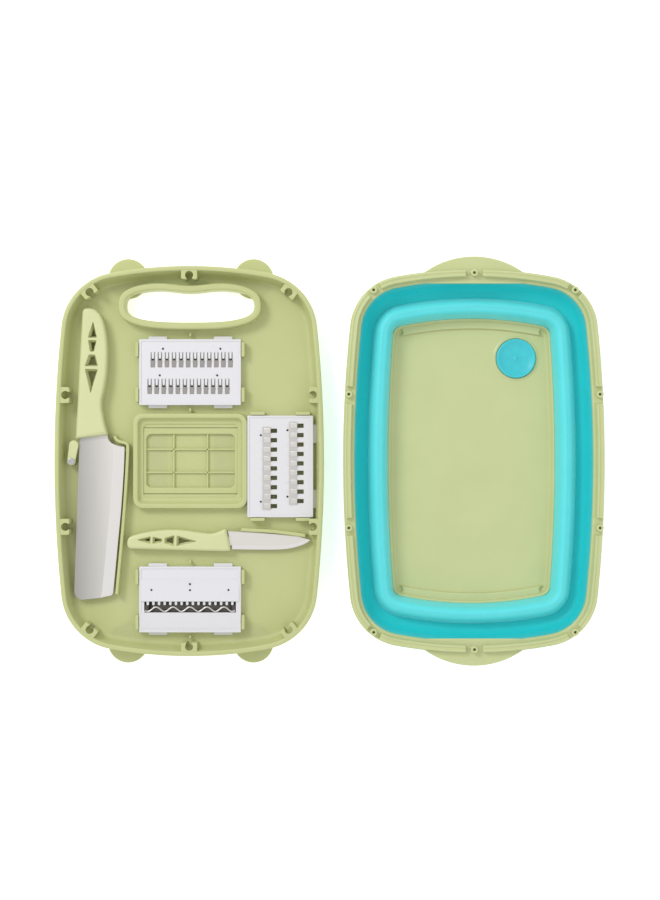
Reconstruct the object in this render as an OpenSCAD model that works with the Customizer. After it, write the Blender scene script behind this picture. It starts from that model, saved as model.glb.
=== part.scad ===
// Mandoline slicer set: a cutting board whose storage side holds two knives, three blade cartridges
// and a window insert, lying open beside its collapsible catch basin. Millimetres.
// +X runs from the board to the basin, +Y towards the board's handle, +Z up from the table.

/* [Board] */
// Width of the board over its lip
board_w = 266; // [264:1:320]
// Length of the board over its lip, without the lift tabs
board_l = 385; // [380:1:462]
// Height of the board from its cutting face to its lip
board_h = 24; // [22:0.5:30]
// Thickness of the board's floor
floor_t = 3.5; // [2.5:0.1:5]
// Thickness of the lip at the top of the board's wall
lip_t = 4.6; // [3:0.1:6]
// Radius of the bowed long sides
side_r = 1290; // [900:10:3000]
// Radius of the bowed ends
end_r = 424; // [350:1:900]
// Radius of the corners
corner_r = 59; // [50:1:70]
// Space between the two halves as they lie on the table
halves_gap = 18.6; // [12:0.1:60]

/* [Snap sockets and posts] */
// Radius of the sockets in the board's lip
socket_r = 3.95; // [3.5:0.05:5]
// Depth of the sockets
socket_depth = 10; // [8:0.5:14]
// Radial clearance of a post in its socket
post_fit = 0.35; // [0.2:0.05:0.6]
// Radius of the hole that cores each post
post_core_r = 1.4; // [1:0.1:2]
// Distance of the side sockets from the middle
side_socket_y = 65; // [50:1:80]
// Angle of the corner sockets round their corner
corner_socket_angle = 52; // [40:1:65]

/* [Handle opening] */
// Half the width of the opening
grip_a = 63.5; // [55:0.5:70]
// Half the height of the opening
grip_b = 16.5; // [14:0.5:19]
// Distance of the opening's middle from the end of the board
grip_from_end = 38.5; // [36.5:0.5:48]
// Width of the raised collar round the opening
grip_collar = 7.5; // [4:0.5:9]
// Height of the collar's top above the cutting face
grip_h = 17.5; // [10:0.5:17.5]

/* [Blade cartridges] */
// Length of a cartridge
cart_l = 101; // [90:1:110]
// Width of a cartridge
cart_w = 65.4; // [60:0.2:72]
// Height of a cartridge
cart_h = 9; // [7:0.5:10]
// Thickness of a cartridge's walls and face
cart_t = 2; // [1.5:0.1:3]
// Width of each snap tab
tab_w = 18.6; // [12:0.2:24]
// How far each snap tab stands out
tab_out = 3; // [2:0.1:4]
// Play between a cartridge and what holds it
cart_fit = 0.5; // [0.3:0.1:1]

/* [Knives] */
// Length of the cleaver's handle
cleaver_handle_l = 130; // [110:1:135]
// Thickness of the cleaver's handle
cleaver_handle_t = 15; // [12:0.5:15]
// Length of the cleaver's blade
cleaver_blade_l = 159; // [140:1:165]
// Thickness of the cleaver's blade
cleaver_blade_t = 1.8; // [1.2:0.1:2.5]
// Length of the paring knife's handle
paring_handle_l = 103; // [90:1:106]
// Thickness of the paring knife's handle
paring_handle_t = 12; // [9:0.5:14]
// Thickness of the paring knife's blade
paring_blade_t = 1.2; // [0.8:0.1:1.6]

/* [Basin] */
// Height of the folded basin's rim above the table
rim_h = 45; // [42:0.5:60]
// How far the rim's ridges and posts stand up into the closed board
rim_engage = 6; // [5:0.5:8]
// Thickness of the rim's flange under the ridges
flange_t = 4; // [3:0.5:6]
// Gap round the rim inside the board's lip
rim_fit = 0.6; // [0.4:0.1:1]
// Half the width of the basin's base
base_a = 83; // [75:1:88]
// Half the length of the basin's base
base_b = 141.5; // [130:0.5:145]
// Thickness of the basin's base
base_t = 3; // [2.5:0.5:5]
// Thickness of the silicone wall
silicone_t = 2; // [1.5:0.1:2.6]
// Height of the silicone's folded ridge above the table
ridge_h = 30; // [24:0.5:34]
// Height of the fold's valley above the table
valley_h = 13; // [6:0.5:20]
// Radius of the drain plug
plug_r = 19.5; // [15:0.5:22]

/* [Hidden] */
$fn = 48;

green = [0.78, 0.80, 0.57];
white = [0.90, 0.90, 0.92];
steel = [0.78, 0.77, 0.75];
teal = [0.16, 0.76, 0.78];

eps = 0.01;
touch = 0.2;              // play under a piece that rests on another body

// Outlines: [half width, half length, side radius, end radius, corner radius]
board_o = [board_w / 2, board_l / 2, side_r, end_r, corner_r];
rim_inset = lip_t + rim_fit;
fold_a = base_a + 20;
fold_b = base_b + 19.4;
ridge_o = [(base_a + fold_a) / 2, (base_b + fold_b) / 2, 1500, 360, 19];
fold_o = [fold_a, fold_b, 1400, 380, 30];
base_o = [base_a, base_b, 1630, 340, 9];

// Where the halves lie
total_w = board_w + halves_gap + board_w - 2 * rim_inset;
board_x = -total_w / 2 + board_w / 2;
basin_x = total_w / 2 - board_w / 2 + rim_inset;

// Sockets and posts
post_r = socket_r - post_fit;
post_inset = 9.2;
arm_out = 3.3;            // how far the socket's arms reach past its centre
arm_w = 7.9;              // half the width over the arms
arm_drop = 0.3;           // how far the arms stop below the lip
floor_z = floor_t;
rest_z = floor_z + touch;

// ---------------------------------------------------------------- outlines

function two_circles(c1, r1, c2, r2) =
    let (d = norm(c2 - c1), u = (c2 - c1) / d, along = (d * d + r1 * r1 - r2 * r2) / (2 * d),
         up = sqrt(r1 * r1 - along * along))
    c1 + u * along + [u[1], -u[0]] * up;

// The centre of the upper right corner's arc
function corner_of(o) =
    two_circles([0, o[1] - o[3]], o[3] - o[4], [o[0] - o[2], 0], o[2] - o[4]);

function arc(c, r, a0, a1, n) = [for (i = [0:n - 1]) c + r * [cos(a0 + (a1 - a0) * i / n), sin(a0 + (a1 - a0) * i / n)]];

// One quarter of a bowed, rounded rectangle, moved in by d
function quarter(o, d, n) =
    let (c = corner_of(o), s = [o[0] - o[2], 0], e = [0, o[1] - o[3]],
         a1 = atan2(c[1] - s[1], c[0] - s[0]), a2 = atan2(c[1] - e[1], c[0] - e[0]))
    concat(arc(s, o[2] - d, 0, a1, n), arc(c, o[4] - d, a1, a2, 2 * n), arc(e, o[3] - d, a2, 90, n));

function flip_x(p) = [for (i = [len(p) - 1:-1:0]) [-p[i][0], p[i][1]]];
function half_turn(p) = [for (v = p) -v];
function tail(p) = [for (i = [1:len(p) - 1]) p[i]];

// The whole outline, counter-clockwise from the middle of the right side
function outline(o, d = 0, n = 4) =
    let (q = quarter(o, d, n), upper = concat(q, [[0, o[1] - d]], flip_x(tail(q))))
    concat(upper, half_turn(upper));

module plate(o, d, h, n = 4) linear_extrude(h) polygon(outline(o, d, n));

module band(o, d_out, d_in, h, n = 4) linear_extrude(h) difference() {
    polygon(outline(o, d_out, n));
    polygon(outline(o, d_in, n));
}

// A closed ring through sections [outline, inset, z], listed outside, top, inside, bottom
module lofted_ring(sections, n = 4) {
    rings = [for (s = sections) [for (p = outline(s[0], s[1], n)) [p[0], p[1], s[2]]]];
    m = len(rings[0]);
    k = len(rings);
    points = [for (r = rings) each r];
    faces = [for (j = [0:k - 1]) for (i = [0:m - 1])
        let (a = j * m + i, b = j * m + (i + 1) % m, c = ((j + 1) % k) * m + (i + 1) % m, d = ((j + 1) % k) * m + i)
        each [[a, c, b], [a, d, c]]];
    polyhedron(points, faces);
}

// A smooth curve through points, ending on its last point
function open_curve(p, n = 5) = let (m = len(p) - 1) concat([for (i = [0:m - 1]) for (k = [0:n - 1])
    let (t = k / n, b = p[i], c = p[i + 1], a = i == 0 ? 2 * b - c : p[i - 1], d = i == m - 1 ? 2 * c - b : p[i + 2])
    0.5 * (2 * b + (c - a) * t + (2 * a - 5 * b + 4 * c - d) * t * t + (3 * b - a - 3 * c + d) * t * t * t)],
    [p[m]]);

module rounded(x, y, r, h) linear_extrude(h) union() {
    square([x - 2 * r, y], center = true);
    square([x, y - 2 * r], center = true);
    for (sx = [-1, 1], sy = [-1, 1]) translate([sx * (x / 2 - r), sy * (y / 2 - r)]) circle(r);
}

module box(x0, x1, y0, y1, z0, z1) translate([x0, y0, z0]) cube([x1 - x0, y1 - y0, z1 - z0]);

module at_board() translate([board_x, 0, 0]) children();
module at_basin() translate([basin_x, 0, 0]) children();

// ---------------------------------------------------------------- sockets and posts

socket_side_x = side_r - post_inset;
corner_c = corner_of(board_o);
corner_reach = corner_r - post_inset;
side_socket_angle = asin(side_socket_y / socket_side_x);

// [x, y, direction outwards] of the sockets in one quarter and at the ends
function socket_places() = concat(
    [for (sx = [-1, 1], sy = [-1, 1]) [
        sx * (board_w / 2 - side_r + socket_side_x * cos(side_socket_angle)), sy * side_socket_y,
        sx > 0 ? 0 : 180]],
    [for (sx = [-1, 1], sy = [-1, 1]) [
        sx * (corner_c[0] + corner_reach * cos(corner_socket_angle)),
        sy * (corner_c[1] + corner_reach * sin(corner_socket_angle)),
        atan2(sy * sin(corner_socket_angle), sx * cos(corner_socket_angle))]],
    [for (sy = [-1, 1]) [0, sy * (board_l / 2 - post_inset), sy * 90]]);

module each_socket() for (s = socket_places()) translate([s[0], s[1], 0]) rotate(s[2]) children();

// ---------------------------------------------------------------- board

groove_in = 17;           // juice groove on the cutting face
groove_w = 5;
groove_d = 1.2;
wall_draft = 3;           // how far the wall leans out from the cutting face to the lip
tab_r = 20;               // lift tabs at the board's ends
tab_x = 62.5;
tab_reach = 9;
tab_low = 0.4;
tab_high = floor_t - 0.1;
window_collar = 5;
window_h = 13;
view_x = cart_l - 7.4;    // opening between the window's ledges
view_y = cart_w + 7.6;
window_x = cart_l + 2 * cart_fit;
window_y = cart_w + 2 * cart_fit;
collar_x = window_x + 2 * window_collar + 1.8;
collar_y = view_y + 2 * window_collar + 12;
window_r = 10;

grip_y = board_l / 2 - grip_from_end;

// The grip opening: a flat oval with a shallow dip on the side towards the board's end
function grip_curve(grow) = [for (i = [0:71]) let (t = i * 5, e = 2 / 2.8,
    x = (grip_a + grow) * sign(cos(t)) * pow(abs(cos(t)), e), y = (grip_b + grow) * sign(sin(t)) * pow(abs(sin(t)), e))
    [x, grip_y + y - (t > 0 && t < 180 ? 4 * exp(-pow(x / 24, 2)) : 0)]];

module wall() lofted_ring([
    [board_o, wall_draft, 0], [board_o, 0.4, 12], [board_o, 0, board_h],
    [board_o, lip_t, board_h], [board_o, lip_t + 2.4, floor_z - 1], [board_o, lip_t + 2.4, 0]]);

module socket_block() {
    translate([-arm_out, -arm_w, floor_z - 1]) cube([arm_out + post_inset - 2, 2 * arm_w, board_h - arm_drop - floor_z + 1]);
}

// Four hooks and two ribs that hold a cartridge lying along X
module cartridge_holders(ribs) {
    hook_w = 14.5;
    for (sx = [-1, 1], sy = [-1, 1])
        translate([sx * (cart_l / 2 + cart_fit + 1.6), sy * 22.5, floor_z - eps])
            translate([-1.6, -hook_w / 2, 0]) cube([3.2, hook_w, cart_h + 1]);
    for (sy = ribs)
        translate([-1, sy * (cart_w / 2 + tab_out + cart_fit + 1.2) - 1.6, floor_z - eps]) cube([2, 3.2, 6.5]);
}

// Where each cartridge is stored: [x, y, angle, ribs at its long sides]
fine_at = [0, grip_y - grip_b - grip_collar - tab_out - cart_w / 2 - 6.2, 0, [-1, 1]];
coarse_at = [board_w / 2 - cart_w / 2 - 10.75, -5.5, 90, [-1]];
wavy_at = [0, cart_w / 2 + 22.2 - board_l / 2, 0, [-1, 1]];

side_play = cart_fit - 0.1;   // play where a cartridge lies against the window's collar

module placed(at, z = 0) translate([at[0], at[1], z]) rotate(at[2]) children();

// The cleaver lies along the left wall and the paring knife below the window
cleaver_at = [20 - board_w / 2, 21.9, -2];
paring_at = [board_w / 2 - 92.4 - paring_handle_l, -87.2, -1.5];
cleaver_rib = concat([[37.5, 5], [40, 0.8], [44, -1.4], [50.5, -2.6]],
    [for (p = [[51.5, -6], [51.2, -45], [48.8, -99], [45.6, -154]]) [p[0], p[1] * cleaver_blade_l / 159]]);
rib_t = 2.8;
paring_rib = [for (p = [[8, 21.6], [42, 20.6], [75, 17.4]]) [paring_handle_l + p[0], p[1]]];
paring_rib_t = 3.4;

// The points of a line moved sideways by d
function beside(p, d) = [for (i = [0:len(p) - 1])
    let (along = p[min(i + 1, len(p) - 1)] - p[max(i - 1, 0)], u = along / norm(along)) p[i] + d * [-u[1], u[0]]];
function reversed(p) = [for (i = [len(p) - 1:-1:0]) p[i]];

module rib_along(p, t, h) translate([0, 0, floor_z - 0.5]) linear_extrude(h + 0.5)
    polygon(concat(beside(p, t / 2), reversed(beside(p, -t / 2))));

latch_at = [15.3 - board_w / 2, -0.5];
latch_shank_r = 1.5;
latch_boss_top = rest_z + cleaver_handle_t / 2 + cleaver_blade_t / 2 + 0.3;
latch_len = 16.4;
latch_t = 3;
latch_rest_angle = -9.5;

module board_tray() color(green) at_board() difference() {
    union() {
        plate(board_o, wall_draft + 2, floor_z);
        wall();
        for (sx = [-1, 1], sy = [-1, 1])
            translate([sx * tab_x, sy * (board_l / 2 + tab_reach - tab_r), tab_low])
                cylinder(h = tab_high - tab_low, r = tab_r);
        intersection() {
            each_socket() socket_block();
            plate(board_o, wall_draft + 0.5, board_h);
        }
        translate([0, 0, floor_z - 1]) linear_extrude(grip_h - floor_z + 1) polygon(grip_curve(grip_collar));
        translate([0, 0, floor_z - 1]) rounded(collar_x, collar_y, window_r, window_h - floor_z + 1);
        for (c = [fine_at, coarse_at, wavy_at]) placed(c) cartridge_holders(c[3]);
        placed(cleaver_at) rib_along(cleaver_rib, rib_t, 11);
        placed(paring_at) rib_along(paring_rib, paring_rib_t, 9.5);
        translate([latch_at[0], latch_at[1], floor_z - eps]) cylinder(h = latch_boss_top - floor_z, r = 4.2);
    }
    translate([0, 0, -1]) linear_extrude(board_h + 2) polygon(grip_curve(0));
    window_cut();
    placed(coarse_at, floor_z + 0.1) rounded(cart_l + 2 * side_play, cart_w + 2 * side_play, 1, board_h);
    each_socket() translate([0, 0, board_h - socket_depth]) cylinder(h = socket_depth + 1, r = socket_r);
    translate([0, 0, -eps]) band(board_o, groove_in, groove_in + groove_w, groove_d + eps);
    translate([latch_at[0], latch_at[1], 5]) cylinder(h = latch_boss_top, r = latch_shank_r + 0.05);
}

// The window: whatever fills it goes in from the cutting side, up to the ledges at its ends
module window_cut() {
    translate([0, 0, -1]) rounded(window_x, window_y, 3, 1 + insert_h + touch);
    for (sx = [-1, 1]) translate([sx * tab_x_cart, 0, -1])
        rounded(tab_w + 2 * cart_fit, window_y + 2 * tab_out, 0.5, 1 + insert_tab_z + insert_tab_t + touch);
    translate([0, 0, insert_h - 1]) rounded(view_x, view_y, 4, window_h);
    translate([0, 0, window_h - 4]) rounded(collar_x - 2 * window_collar, collar_y - 2 * window_collar, 5, 5);
}

module latch_screw() color(steel) at_board() translate([latch_at[0], latch_at[1], 0]) {
    translate([0, 0, 6]) cylinder(h = latch_boss_top + latch_t + 0.6 - 6, r = latch_shank_r);
    translate([0, 0, latch_boss_top + latch_t + 0.4]) difference() {
        cylinder(h = 1.6, r = 3.5);
        for (a = [0, 90]) rotate(a + 20) translate([-2.2, -0.45, 0.8]) cube([4.4, 0.9, 1]);
    }
}

module latch_lever() color(green) at_board()
    translate([latch_at[0], latch_at[1], latch_boss_top + 0.2]) rotate(latch_rest_angle) difference() {
        union() {
            cylinder(h = latch_t, r = 4);
            translate([0, latch_len, 0]) cylinder(h = latch_t, r = 4.7);
            linear_extrude(latch_t) polygon([[-4, 0], [4, 0], [4.7, latch_len], [-4.7, latch_len]]);
        }
        translate([0, 0, -1]) cylinder(h = latch_t + 2, r = latch_shank_r + 0.08);
    }

insert_h = 6;
insert_tab_z = 1.6;
insert_tab_t = 1.6;

// The insert closes the window flush with the cutting face; ribs stiffen its inner side
module window_insert() color(green) at_board() difference() {
    union() {
        rounded(cart_l, cart_w, 2.5, insert_h);
        for (sx = [-1, 1]) translate([sx * tab_x_cart, 0, insert_tab_z])
            rounded(tab_w, cart_w + 2 * tab_out - 1, 0.5, insert_tab_t);
    }
    translate([0, 0, 2.2]) difference() {
        rounded(cart_l - 13, cart_w - 12, 5, insert_h);
        for (x = [-16.8, 16.8]) box(x - 0.8, x + 0.8, -40, 40, -1, insert_h - 3);
        for (y = [-11.5, 11.5]) box(-60, 60, y - 0.8, y + 0.8, -1, insert_h - 3);
    }
}

// ---------------------------------------------------------------- cartridges

face_z = cart_h - 0.6;    // the working face sits just inside the cartridge's border
border = 2.2;
tab_x_cart = 32.5;        // the snap tabs lie this far from the cartridge's middle

// Shell, open underneath, with two snap tabs at each of the sides named; children are cut from its face
module cartridge_shell(sides = [-1, 1]) difference() {
    union() {
        rounded(cart_l, cart_w, 1.2, cart_h);
        for (sx = [-1, 1], sy = sides) translate([sx * tab_x_cart, sy * (cart_w / 2 + tab_out - 5), 2])
            rounded(tab_w, 10, 0.6, 2);
    }
    translate([0, 0, -eps]) rounded(cart_l - 2 * cart_t, cart_w - 2 * cart_t, 0.8, face_z - cart_t);
    translate([0, 0, face_z]) rounded(cart_l - 2 * border, cart_w - 2 * border, 0.8, 2);
    children();
}

module pin_row(xs, y) for (x = xs) translate([x, y, face_z - cart_t]) children();

// Fine grater: two rows of twelve forked teeth
fine_n = 12;
fine_pitch = 7;
fine_slot_w = 4.3;
fine_slot_l = 15;
fine_rows = [[1.6, 12.2], [-1.6, -14.2]];   // [x offset, y] of each row's middle

module fine_places() for (r = fine_rows, i = [0:fine_n - 1])
    translate([r[0] + (i - (fine_n - 1) / 2) * fine_pitch, r[1], 0]) children();

module fine_frame() color(white) at_board() placed(fine_at, rest_z) {
    cartridge_shell() {
        fine_places() box(-fine_slot_w / 2, fine_slot_w / 2, -fine_slot_l / 2, fine_slot_l / 2, 0, cart_h + 1);
        for (r = fine_rows) pin_row([r[0] - 28.5, r[0] + 28.5], r[1] + 11) cylinder(h = cart_t + 2, r = 0.9);
    }
    // the feed tongue that leads into each slot
    fine_places() translate([0, 0, face_z - cart_t])
        rotate([90, 0, 90]) translate([0, 0, -1.1]) linear_extrude(2.2)
            polygon([[0.4, 0], [fine_slot_l / 2 + 0.5, 0], [fine_slot_l / 2 + 0.5, cart_t], [fine_slot_l / 2 - 2, cart_t]]);
}

tooth_t = 0.6;

// One forked tooth: a lifted cutting plate with two legs that run back beside the tongue
module fork_tooth() {
    translate([0, 0, -tooth_t]) box(-2, -1.3, -1, 7.4, 0, tooth_t);
    translate([0, 0, -tooth_t]) box(1.3, 2, -1, 7.4, 0, tooth_t);
    translate([0, -7.2, -tooth_t]) rotate([10, 0, 0]) box(-2, 2, 0, 6.9, 0, tooth_t);
}

module fine_blades() color(steel) at_board() placed(fine_at, rest_z) {
    fine_places() translate([0, 0, face_z + 0.3]) fork_tooth();
    for (r = fine_rows) translate([r[0], r[1], face_z - cart_t - 0.1 - tooth_t])
        box(-42, 42, -9.8, -6.2, 0, tooth_t);
    for (r = fine_rows) translate([r[0], r[1], 0]) for (i = [0:fine_n - 1])
        translate([(i - (fine_n - 1) / 2) * fine_pitch, 0, 0])
            box(-2, 2, -7.4, -6.8, face_z - cart_t - 0.1 - tooth_t, face_z + 0.1);
}

module rivets(at, places) at_board() placed(at, rest_z)
    for (p = places) translate([p[0], p[1], face_z - cart_t]) {
        cylinder(h = cart_t + 0.5, r = 0.88);
        translate([0, 0, cart_t + 0.1]) cylinder(h = 0.5, r = 1.1);
    }

fine_pin_places = [for (r = fine_rows, sx = [-1, 1]) [r[0] + sx * 28.5, r[1] + 11]];
module fine_pins() color(steel) rivets(fine_at, fine_pin_places);

// Coarse grater: two steel combs of nine teeth, each tooth above its own opening
coarse_n = 9;
coarse_pitch = 9.35;
coarse_hole = [4.2, 6.3];
coarse_rows = [[-2, 9.5], [3, -16.9]];
strip_w = 8.4;

// Along the cartridge's length x, a row's openings lie towards -y and its comb towards +y
module coarse_places() for (r = coarse_rows, i = [0:coarse_n - 1])
    translate([r[0] + (i - (coarse_n - 1) / 2) * coarse_pitch, r[1], 0]) children();

module coarse_frame() color(white) at_board() placed(coarse_at, rest_z) cartridge_shell([-1]) {
    coarse_places() box(-coarse_hole[0] / 2, coarse_hole[0] / 2, -coarse_hole[1], 0, 0, cart_h + 1);
    for (r = coarse_rows) box(r[0] - 41.5, r[0] + 41.5, r[1] - eps, r[1] + strip_w, face_z - 0.8, cart_h + 1);
    for (p = coarse_pin_places) translate([p[0], p[1], 0]) cylinder(h = cart_h + 1, r = 0.9);
}

module coarse_blades() color(steel) at_board() placed(coarse_at, rest_z) {
    difference() {
        for (r = coarse_rows)
            box(r[0] - 41.4, r[0] + 41.4, r[1] + 0.1, r[1] + strip_w - 0.1, face_z - 0.7, face_z + 0.1);
        coarse_places() box(-1.3, 1.3, 1.6, strip_w - 1.2, 0, cart_h + 1);
    }
    coarse_places() translate([0, 0.1, face_z + 0.1]) {
        for (sx = [-1, 1]) translate([sx * 1.75 - 0.35, 0, -eps]) cube([0.7, 2.6, 1.5]);
        translate([-2.1, 0, 1.3]) cube([4.2, 2.6, 0.6]);
    }
}

coarse_pin_places = [for (r = coarse_rows, sx = [-1, 1]) [r[0] + sx * 33, r[1] + strip_w + 1.4]];
module coarse_pins() color(steel) rivets(coarse_at, coarse_pin_places);

// Crinkle slicer: a feed ramp, a slot and a waved blade across it
wave_pitch = 16.8;
wave_a = 2.2;
blade_drop = 2.3;         // the blade lies this far from the slot's middle
wave_slot = [91, 11];
wave_y = -7.4;            // middle of the slot
comb_pitch = 5.6;

function wave(x) = wave_a * cos(360 * x / wave_pitch);

module wavy_frame() color(white) at_board() placed(wavy_at, rest_z) {
    difference() {
        union() {
            cartridge_shell() translate([0, wave_y, 0])
                box(-wave_slot[0] / 2, wave_slot[0] / 2, -wave_slot[1] / 2, wave_slot[1] / 2, 0, 20);
            // feed ramp, highest at the slot
            translate([-cart_l / 2 + border, 0, face_z - eps]) rotate([90, 0, 90]) linear_extrude(cart_l - 2 * border)
                polygon([[wave_y + wave_slot[1] / 2, 0], [20.5, 0], [20.5, 0.3], [wave_y + wave_slot[1] / 2, 1.5]]);
        }
        for (p = wavy_pin_places) translate([p[0], p[1], 0]) cylinder(h = cart_h + 3, r = 0.9);
    }
    // comb along the slot
    for (i = [-7.5:7.5]) translate([i * comb_pitch, wave_y + wave_slot[1] / 2, face_z - 1.5])
        union() {
            box(-1, 1, -2.6, 0.2, 0, 1.5);
            translate([0, -2.6, 0]) cylinder(h = 1.5, r = 1);
        }
}

module wavy_blade() color(steel) at_board() placed(wavy_at, rest_z) {
    half = wave_slot[0] / 2 - 0.3;
    top = [for (i = [0:60]) let (x = -half + 2 * half * i / 60) [x, wave_y - blade_drop + wave(x) + 0.7]];
    low = [for (i = [60:-1:0]) let (x = -half + 2 * half * i / 60) [x, wave_y - blade_drop + wave(x) - 0.7]];
    translate([0, 0, face_z - 3]) linear_extrude(3.4) polygon(concat(top, low));
    for (sx = [-1, 1]) box(sx * (half - 2) - 2, sx * (half - 2) + 2, wave_y - 5.2, wave_y + 2, face_z - 3, face_z - 1);
}

wavy_pin_places = [[-38.2, 9.6], [38.2, 9.6], [0, 15.4], [0, 9.4]];
module wavy_pins() color(steel) at_board() placed(wavy_at, rest_z)
    for (p = wavy_pin_places) translate([p[0], p[1], face_z - cart_t]) cylinder(h = cart_t + 1.5, r = 0.88);

// ---------------------------------------------------------------- knives

blade_z = rest_z + cleaver_handle_t / 2;
cleaver_k = cleaver_handle_l / 130;
cleaver_side = [[31.4, 5.2], [27, 20], [24.4, 36], [26.4, 50], [28.2, 64], [28.6, 82], [27.4, 99], [24.6, 113],
    [20.6, 123], [15, 129]];

// The handle's outline: straight along the spine, swelling towards the palm
function cleaver_outline() = let (s = [for (p = cleaver_side) [p[0], p[1] * cleaver_k]])
    concat([[0, 0]], open_curve(s, 4), [[11, cleaver_handle_l], [4, cleaver_handle_l - 0.4], [2.4, cleaver_handle_l - 2]]);

// Four windows that lighten a handle: two kites, each split by a bar. Origin at the waist between the kites
module kite_windows(h) linear_extrude(h) {
    polygon([[0, 31.5], [-4.6, 15.4], [4.6, 15.4]]);
    polygon([[-4.2, 13], [-2, 1.6], [2, 1.6], [4.2, 13]]);
    polygon([[-3, -1.2], [3, -1.2], [6.6, -12.8], [-6.6, -12.8]]);
    polygon([[-6.4, -15.6], [6.4, -15.6], [0, -39.6]]);
}

module knife_handle(points, t, kite, kite_at, tang, blade_t) difference() {
    translate([0, 0, -t / 2]) linear_extrude(t) polygon(points);
    for (side = [-1, 1]) translate([kite_at[0], kite_at[1], side > 0 ? 1.6 : -1.6 - t])
        rotate(kite_at[2]) scale([kite, kite, 1]) kite_windows(t);
    translate([tang[0], tang[1], -blade_t / 2 - 0.05]) cube([tang[2], tang[3], blade_t + 0.1]);
}

cleaver_tang = [5, -2, 16, 44];

module cleaver_handle() color(green) at_board() placed(cleaver_at, blade_z)
    knife_handle(cleaver_outline(), cleaver_handle_t, 1, [13.6, 85 * cleaver_k, 0], cleaver_tang, cleaver_blade_t);

edge_bevel = 11;          // width of the ground bevel along the cleaver's edge

function cleaver_edge() = let (k = cleaver_blade_l / 159) concat(
    open_curve([[31, 4.6], [33.6, -1.6], [38, -4.4], [43.3, -5.7], [47.8, -6.2]], 3),
    [for (p = [[48.2, -25], [47.7, -45], [46.7, -72], [45, -99], [43.4, -127], [41.9, -151]]) [p[0], p[1] * k]]);

module cleaver_blade() color(steel) at_board() placed(cleaver_at, blade_z) difference() {
    k = cleaver_blade_l / 159;
    union() {
        translate([0, 0, -cleaver_blade_t / 2]) linear_extrude(cleaver_blade_t)
            polygon(concat([[3.4, 0.9]], cleaver_edge(), arc([37.6, -151 * k], 4.3, 0, -75, 3),
                arc([12.5, -150.5 * k], 9.1, -98, -180, 5), [[3.4, -150.5 * k]]));
        translate([cleaver_tang[0] + 0.2, 0, -cleaver_blade_t / 2])
            cube([cleaver_tang[2] - 0.4, cleaver_tang[3] - 2.3, cleaver_blade_t]);
    }
    translate([0, 0, -5]) linear_extrude(10) polygon([[-1, 0], [-1, 3], [4.8, 3], [4.8, 0.9]]);
}

paring_k = paring_handle_l / 103;
function paring_outline() = let (q = paring_k) concat([[1.5, 0], [103 * q, 0], [100 * q, 12], [97.7 * q, 23]],
    [for (p = open_curve([[94, 21.4], [88, 18.6], [81.4, 17.4], [70, 18.4], [51, 20.3], [34, 19.6], [17, 16.8],
        [5, 13.6]], 3)) [p[0] * q, p[1]]], arc([3.6, 9.5], 3.6, 90, 180, 4), [[0, 9.5], [0, 1.5]]);

paring_tang = [62, 5.5, 44, 9];

module paring_handle() color(green) at_board() placed(paring_at, rest_z + paring_handle_t / 2)
    knife_handle(paring_outline(), paring_handle_t, 0.83, [36.2 * paring_k, 9.3, 90], paring_tang, paring_blade_t);

module paring_blade() color(steel) at_board() placed(paring_at, rest_z + paring_handle_t / 2)
    translate([(paring_k - 1) * 103, 0, -paring_blade_t / 2]) {
        linear_extrude(paring_blade_t) polygon(concat([[103.6, 2.2]], open_curve([[104, 2], [128, 2.4], [152, 3.2],
            [166, 5.6], [176, 9.4], [182, 13.4]], 3), [[170, 16.4], [150, 18], [128, 19.2], [98.6, 20],
            [100.4, 12]]));
        translate([64, 5.7, 0]) cube([38, 8.6, paring_blade_t]);
    }

// ---------------------------------------------------------------- basin

deck_z = rim_h - rim_engage;            // top of the flange, where the closed board's sockets land
rim_floor = deck_z - flange_t;
outer_ridge = [1.6, 3.2];
inner_ridge = [5.6, 7.4];
rim_inner = 11.2;
gap_half = arm_w + 0.6;
ear_w = 88;
ear_out = 12.6;
ear_t = 3.4;

module ear() {
    r = (ear_w * ear_w / 4 + ear_out * ear_out) / (2 * ear_out);
    edge = board_l / 2 - rim_inset;
    for (sy = [-1, 1]) intersection() {
        translate([0, sy * (edge + ear_out - r), deck_z - 0.3 - ear_t]) cylinder(h = ear_t, r = r, $fn = 96);
        translate([-ear_w, sy > 0 ? edge - 8 : -edge - ear_out - 5, 0]) cube([2 * ear_w, ear_out + 13, rim_h]);
    }
}

module basin_rim() color(green) at_basin() {
    difference() {
        union() {
            translate([0, 0, rim_floor]) band(board_o, rim_inset, rim_inset + rim_inner, flange_t);
            translate([0, 0, deck_z - eps])
                band(board_o, rim_inset + outer_ridge[0], rim_inset + outer_ridge[1], rim_engage + eps);
            translate([0, 0, deck_z - eps])
                band(board_o, rim_inset + outer_ridge[1] - eps, rim_inset + inner_ridge[0] + eps, rim_engage - 2);
            lofted_ring([[board_o, rim_inset + inner_ridge[0], deck_z - 1], [board_o, rim_inset + inner_ridge[0], rim_h],
                [board_o, rim_inset + inner_ridge[1], rim_h], [board_o, rim_inset + rim_inner, deck_z - 1]]);
            ear();
        }
        each_socket() translate([-13, -gap_half, deck_z]) cube([26, 2 * gap_half, 20]);
        each_socket() translate([0, 0, deck_z - 1]) cylinder(h = 20, r = post_core_r);
    }
    each_socket() translate([0, 0, deck_z - eps]) difference() {
        cylinder(h = rim_engage + eps, r = post_r);
        translate([0, 0, -1]) cylinder(h = rim_engage + 3, r = post_core_r);
    }
}

wall_top_in = rim_inset + rim_inner;

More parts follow.
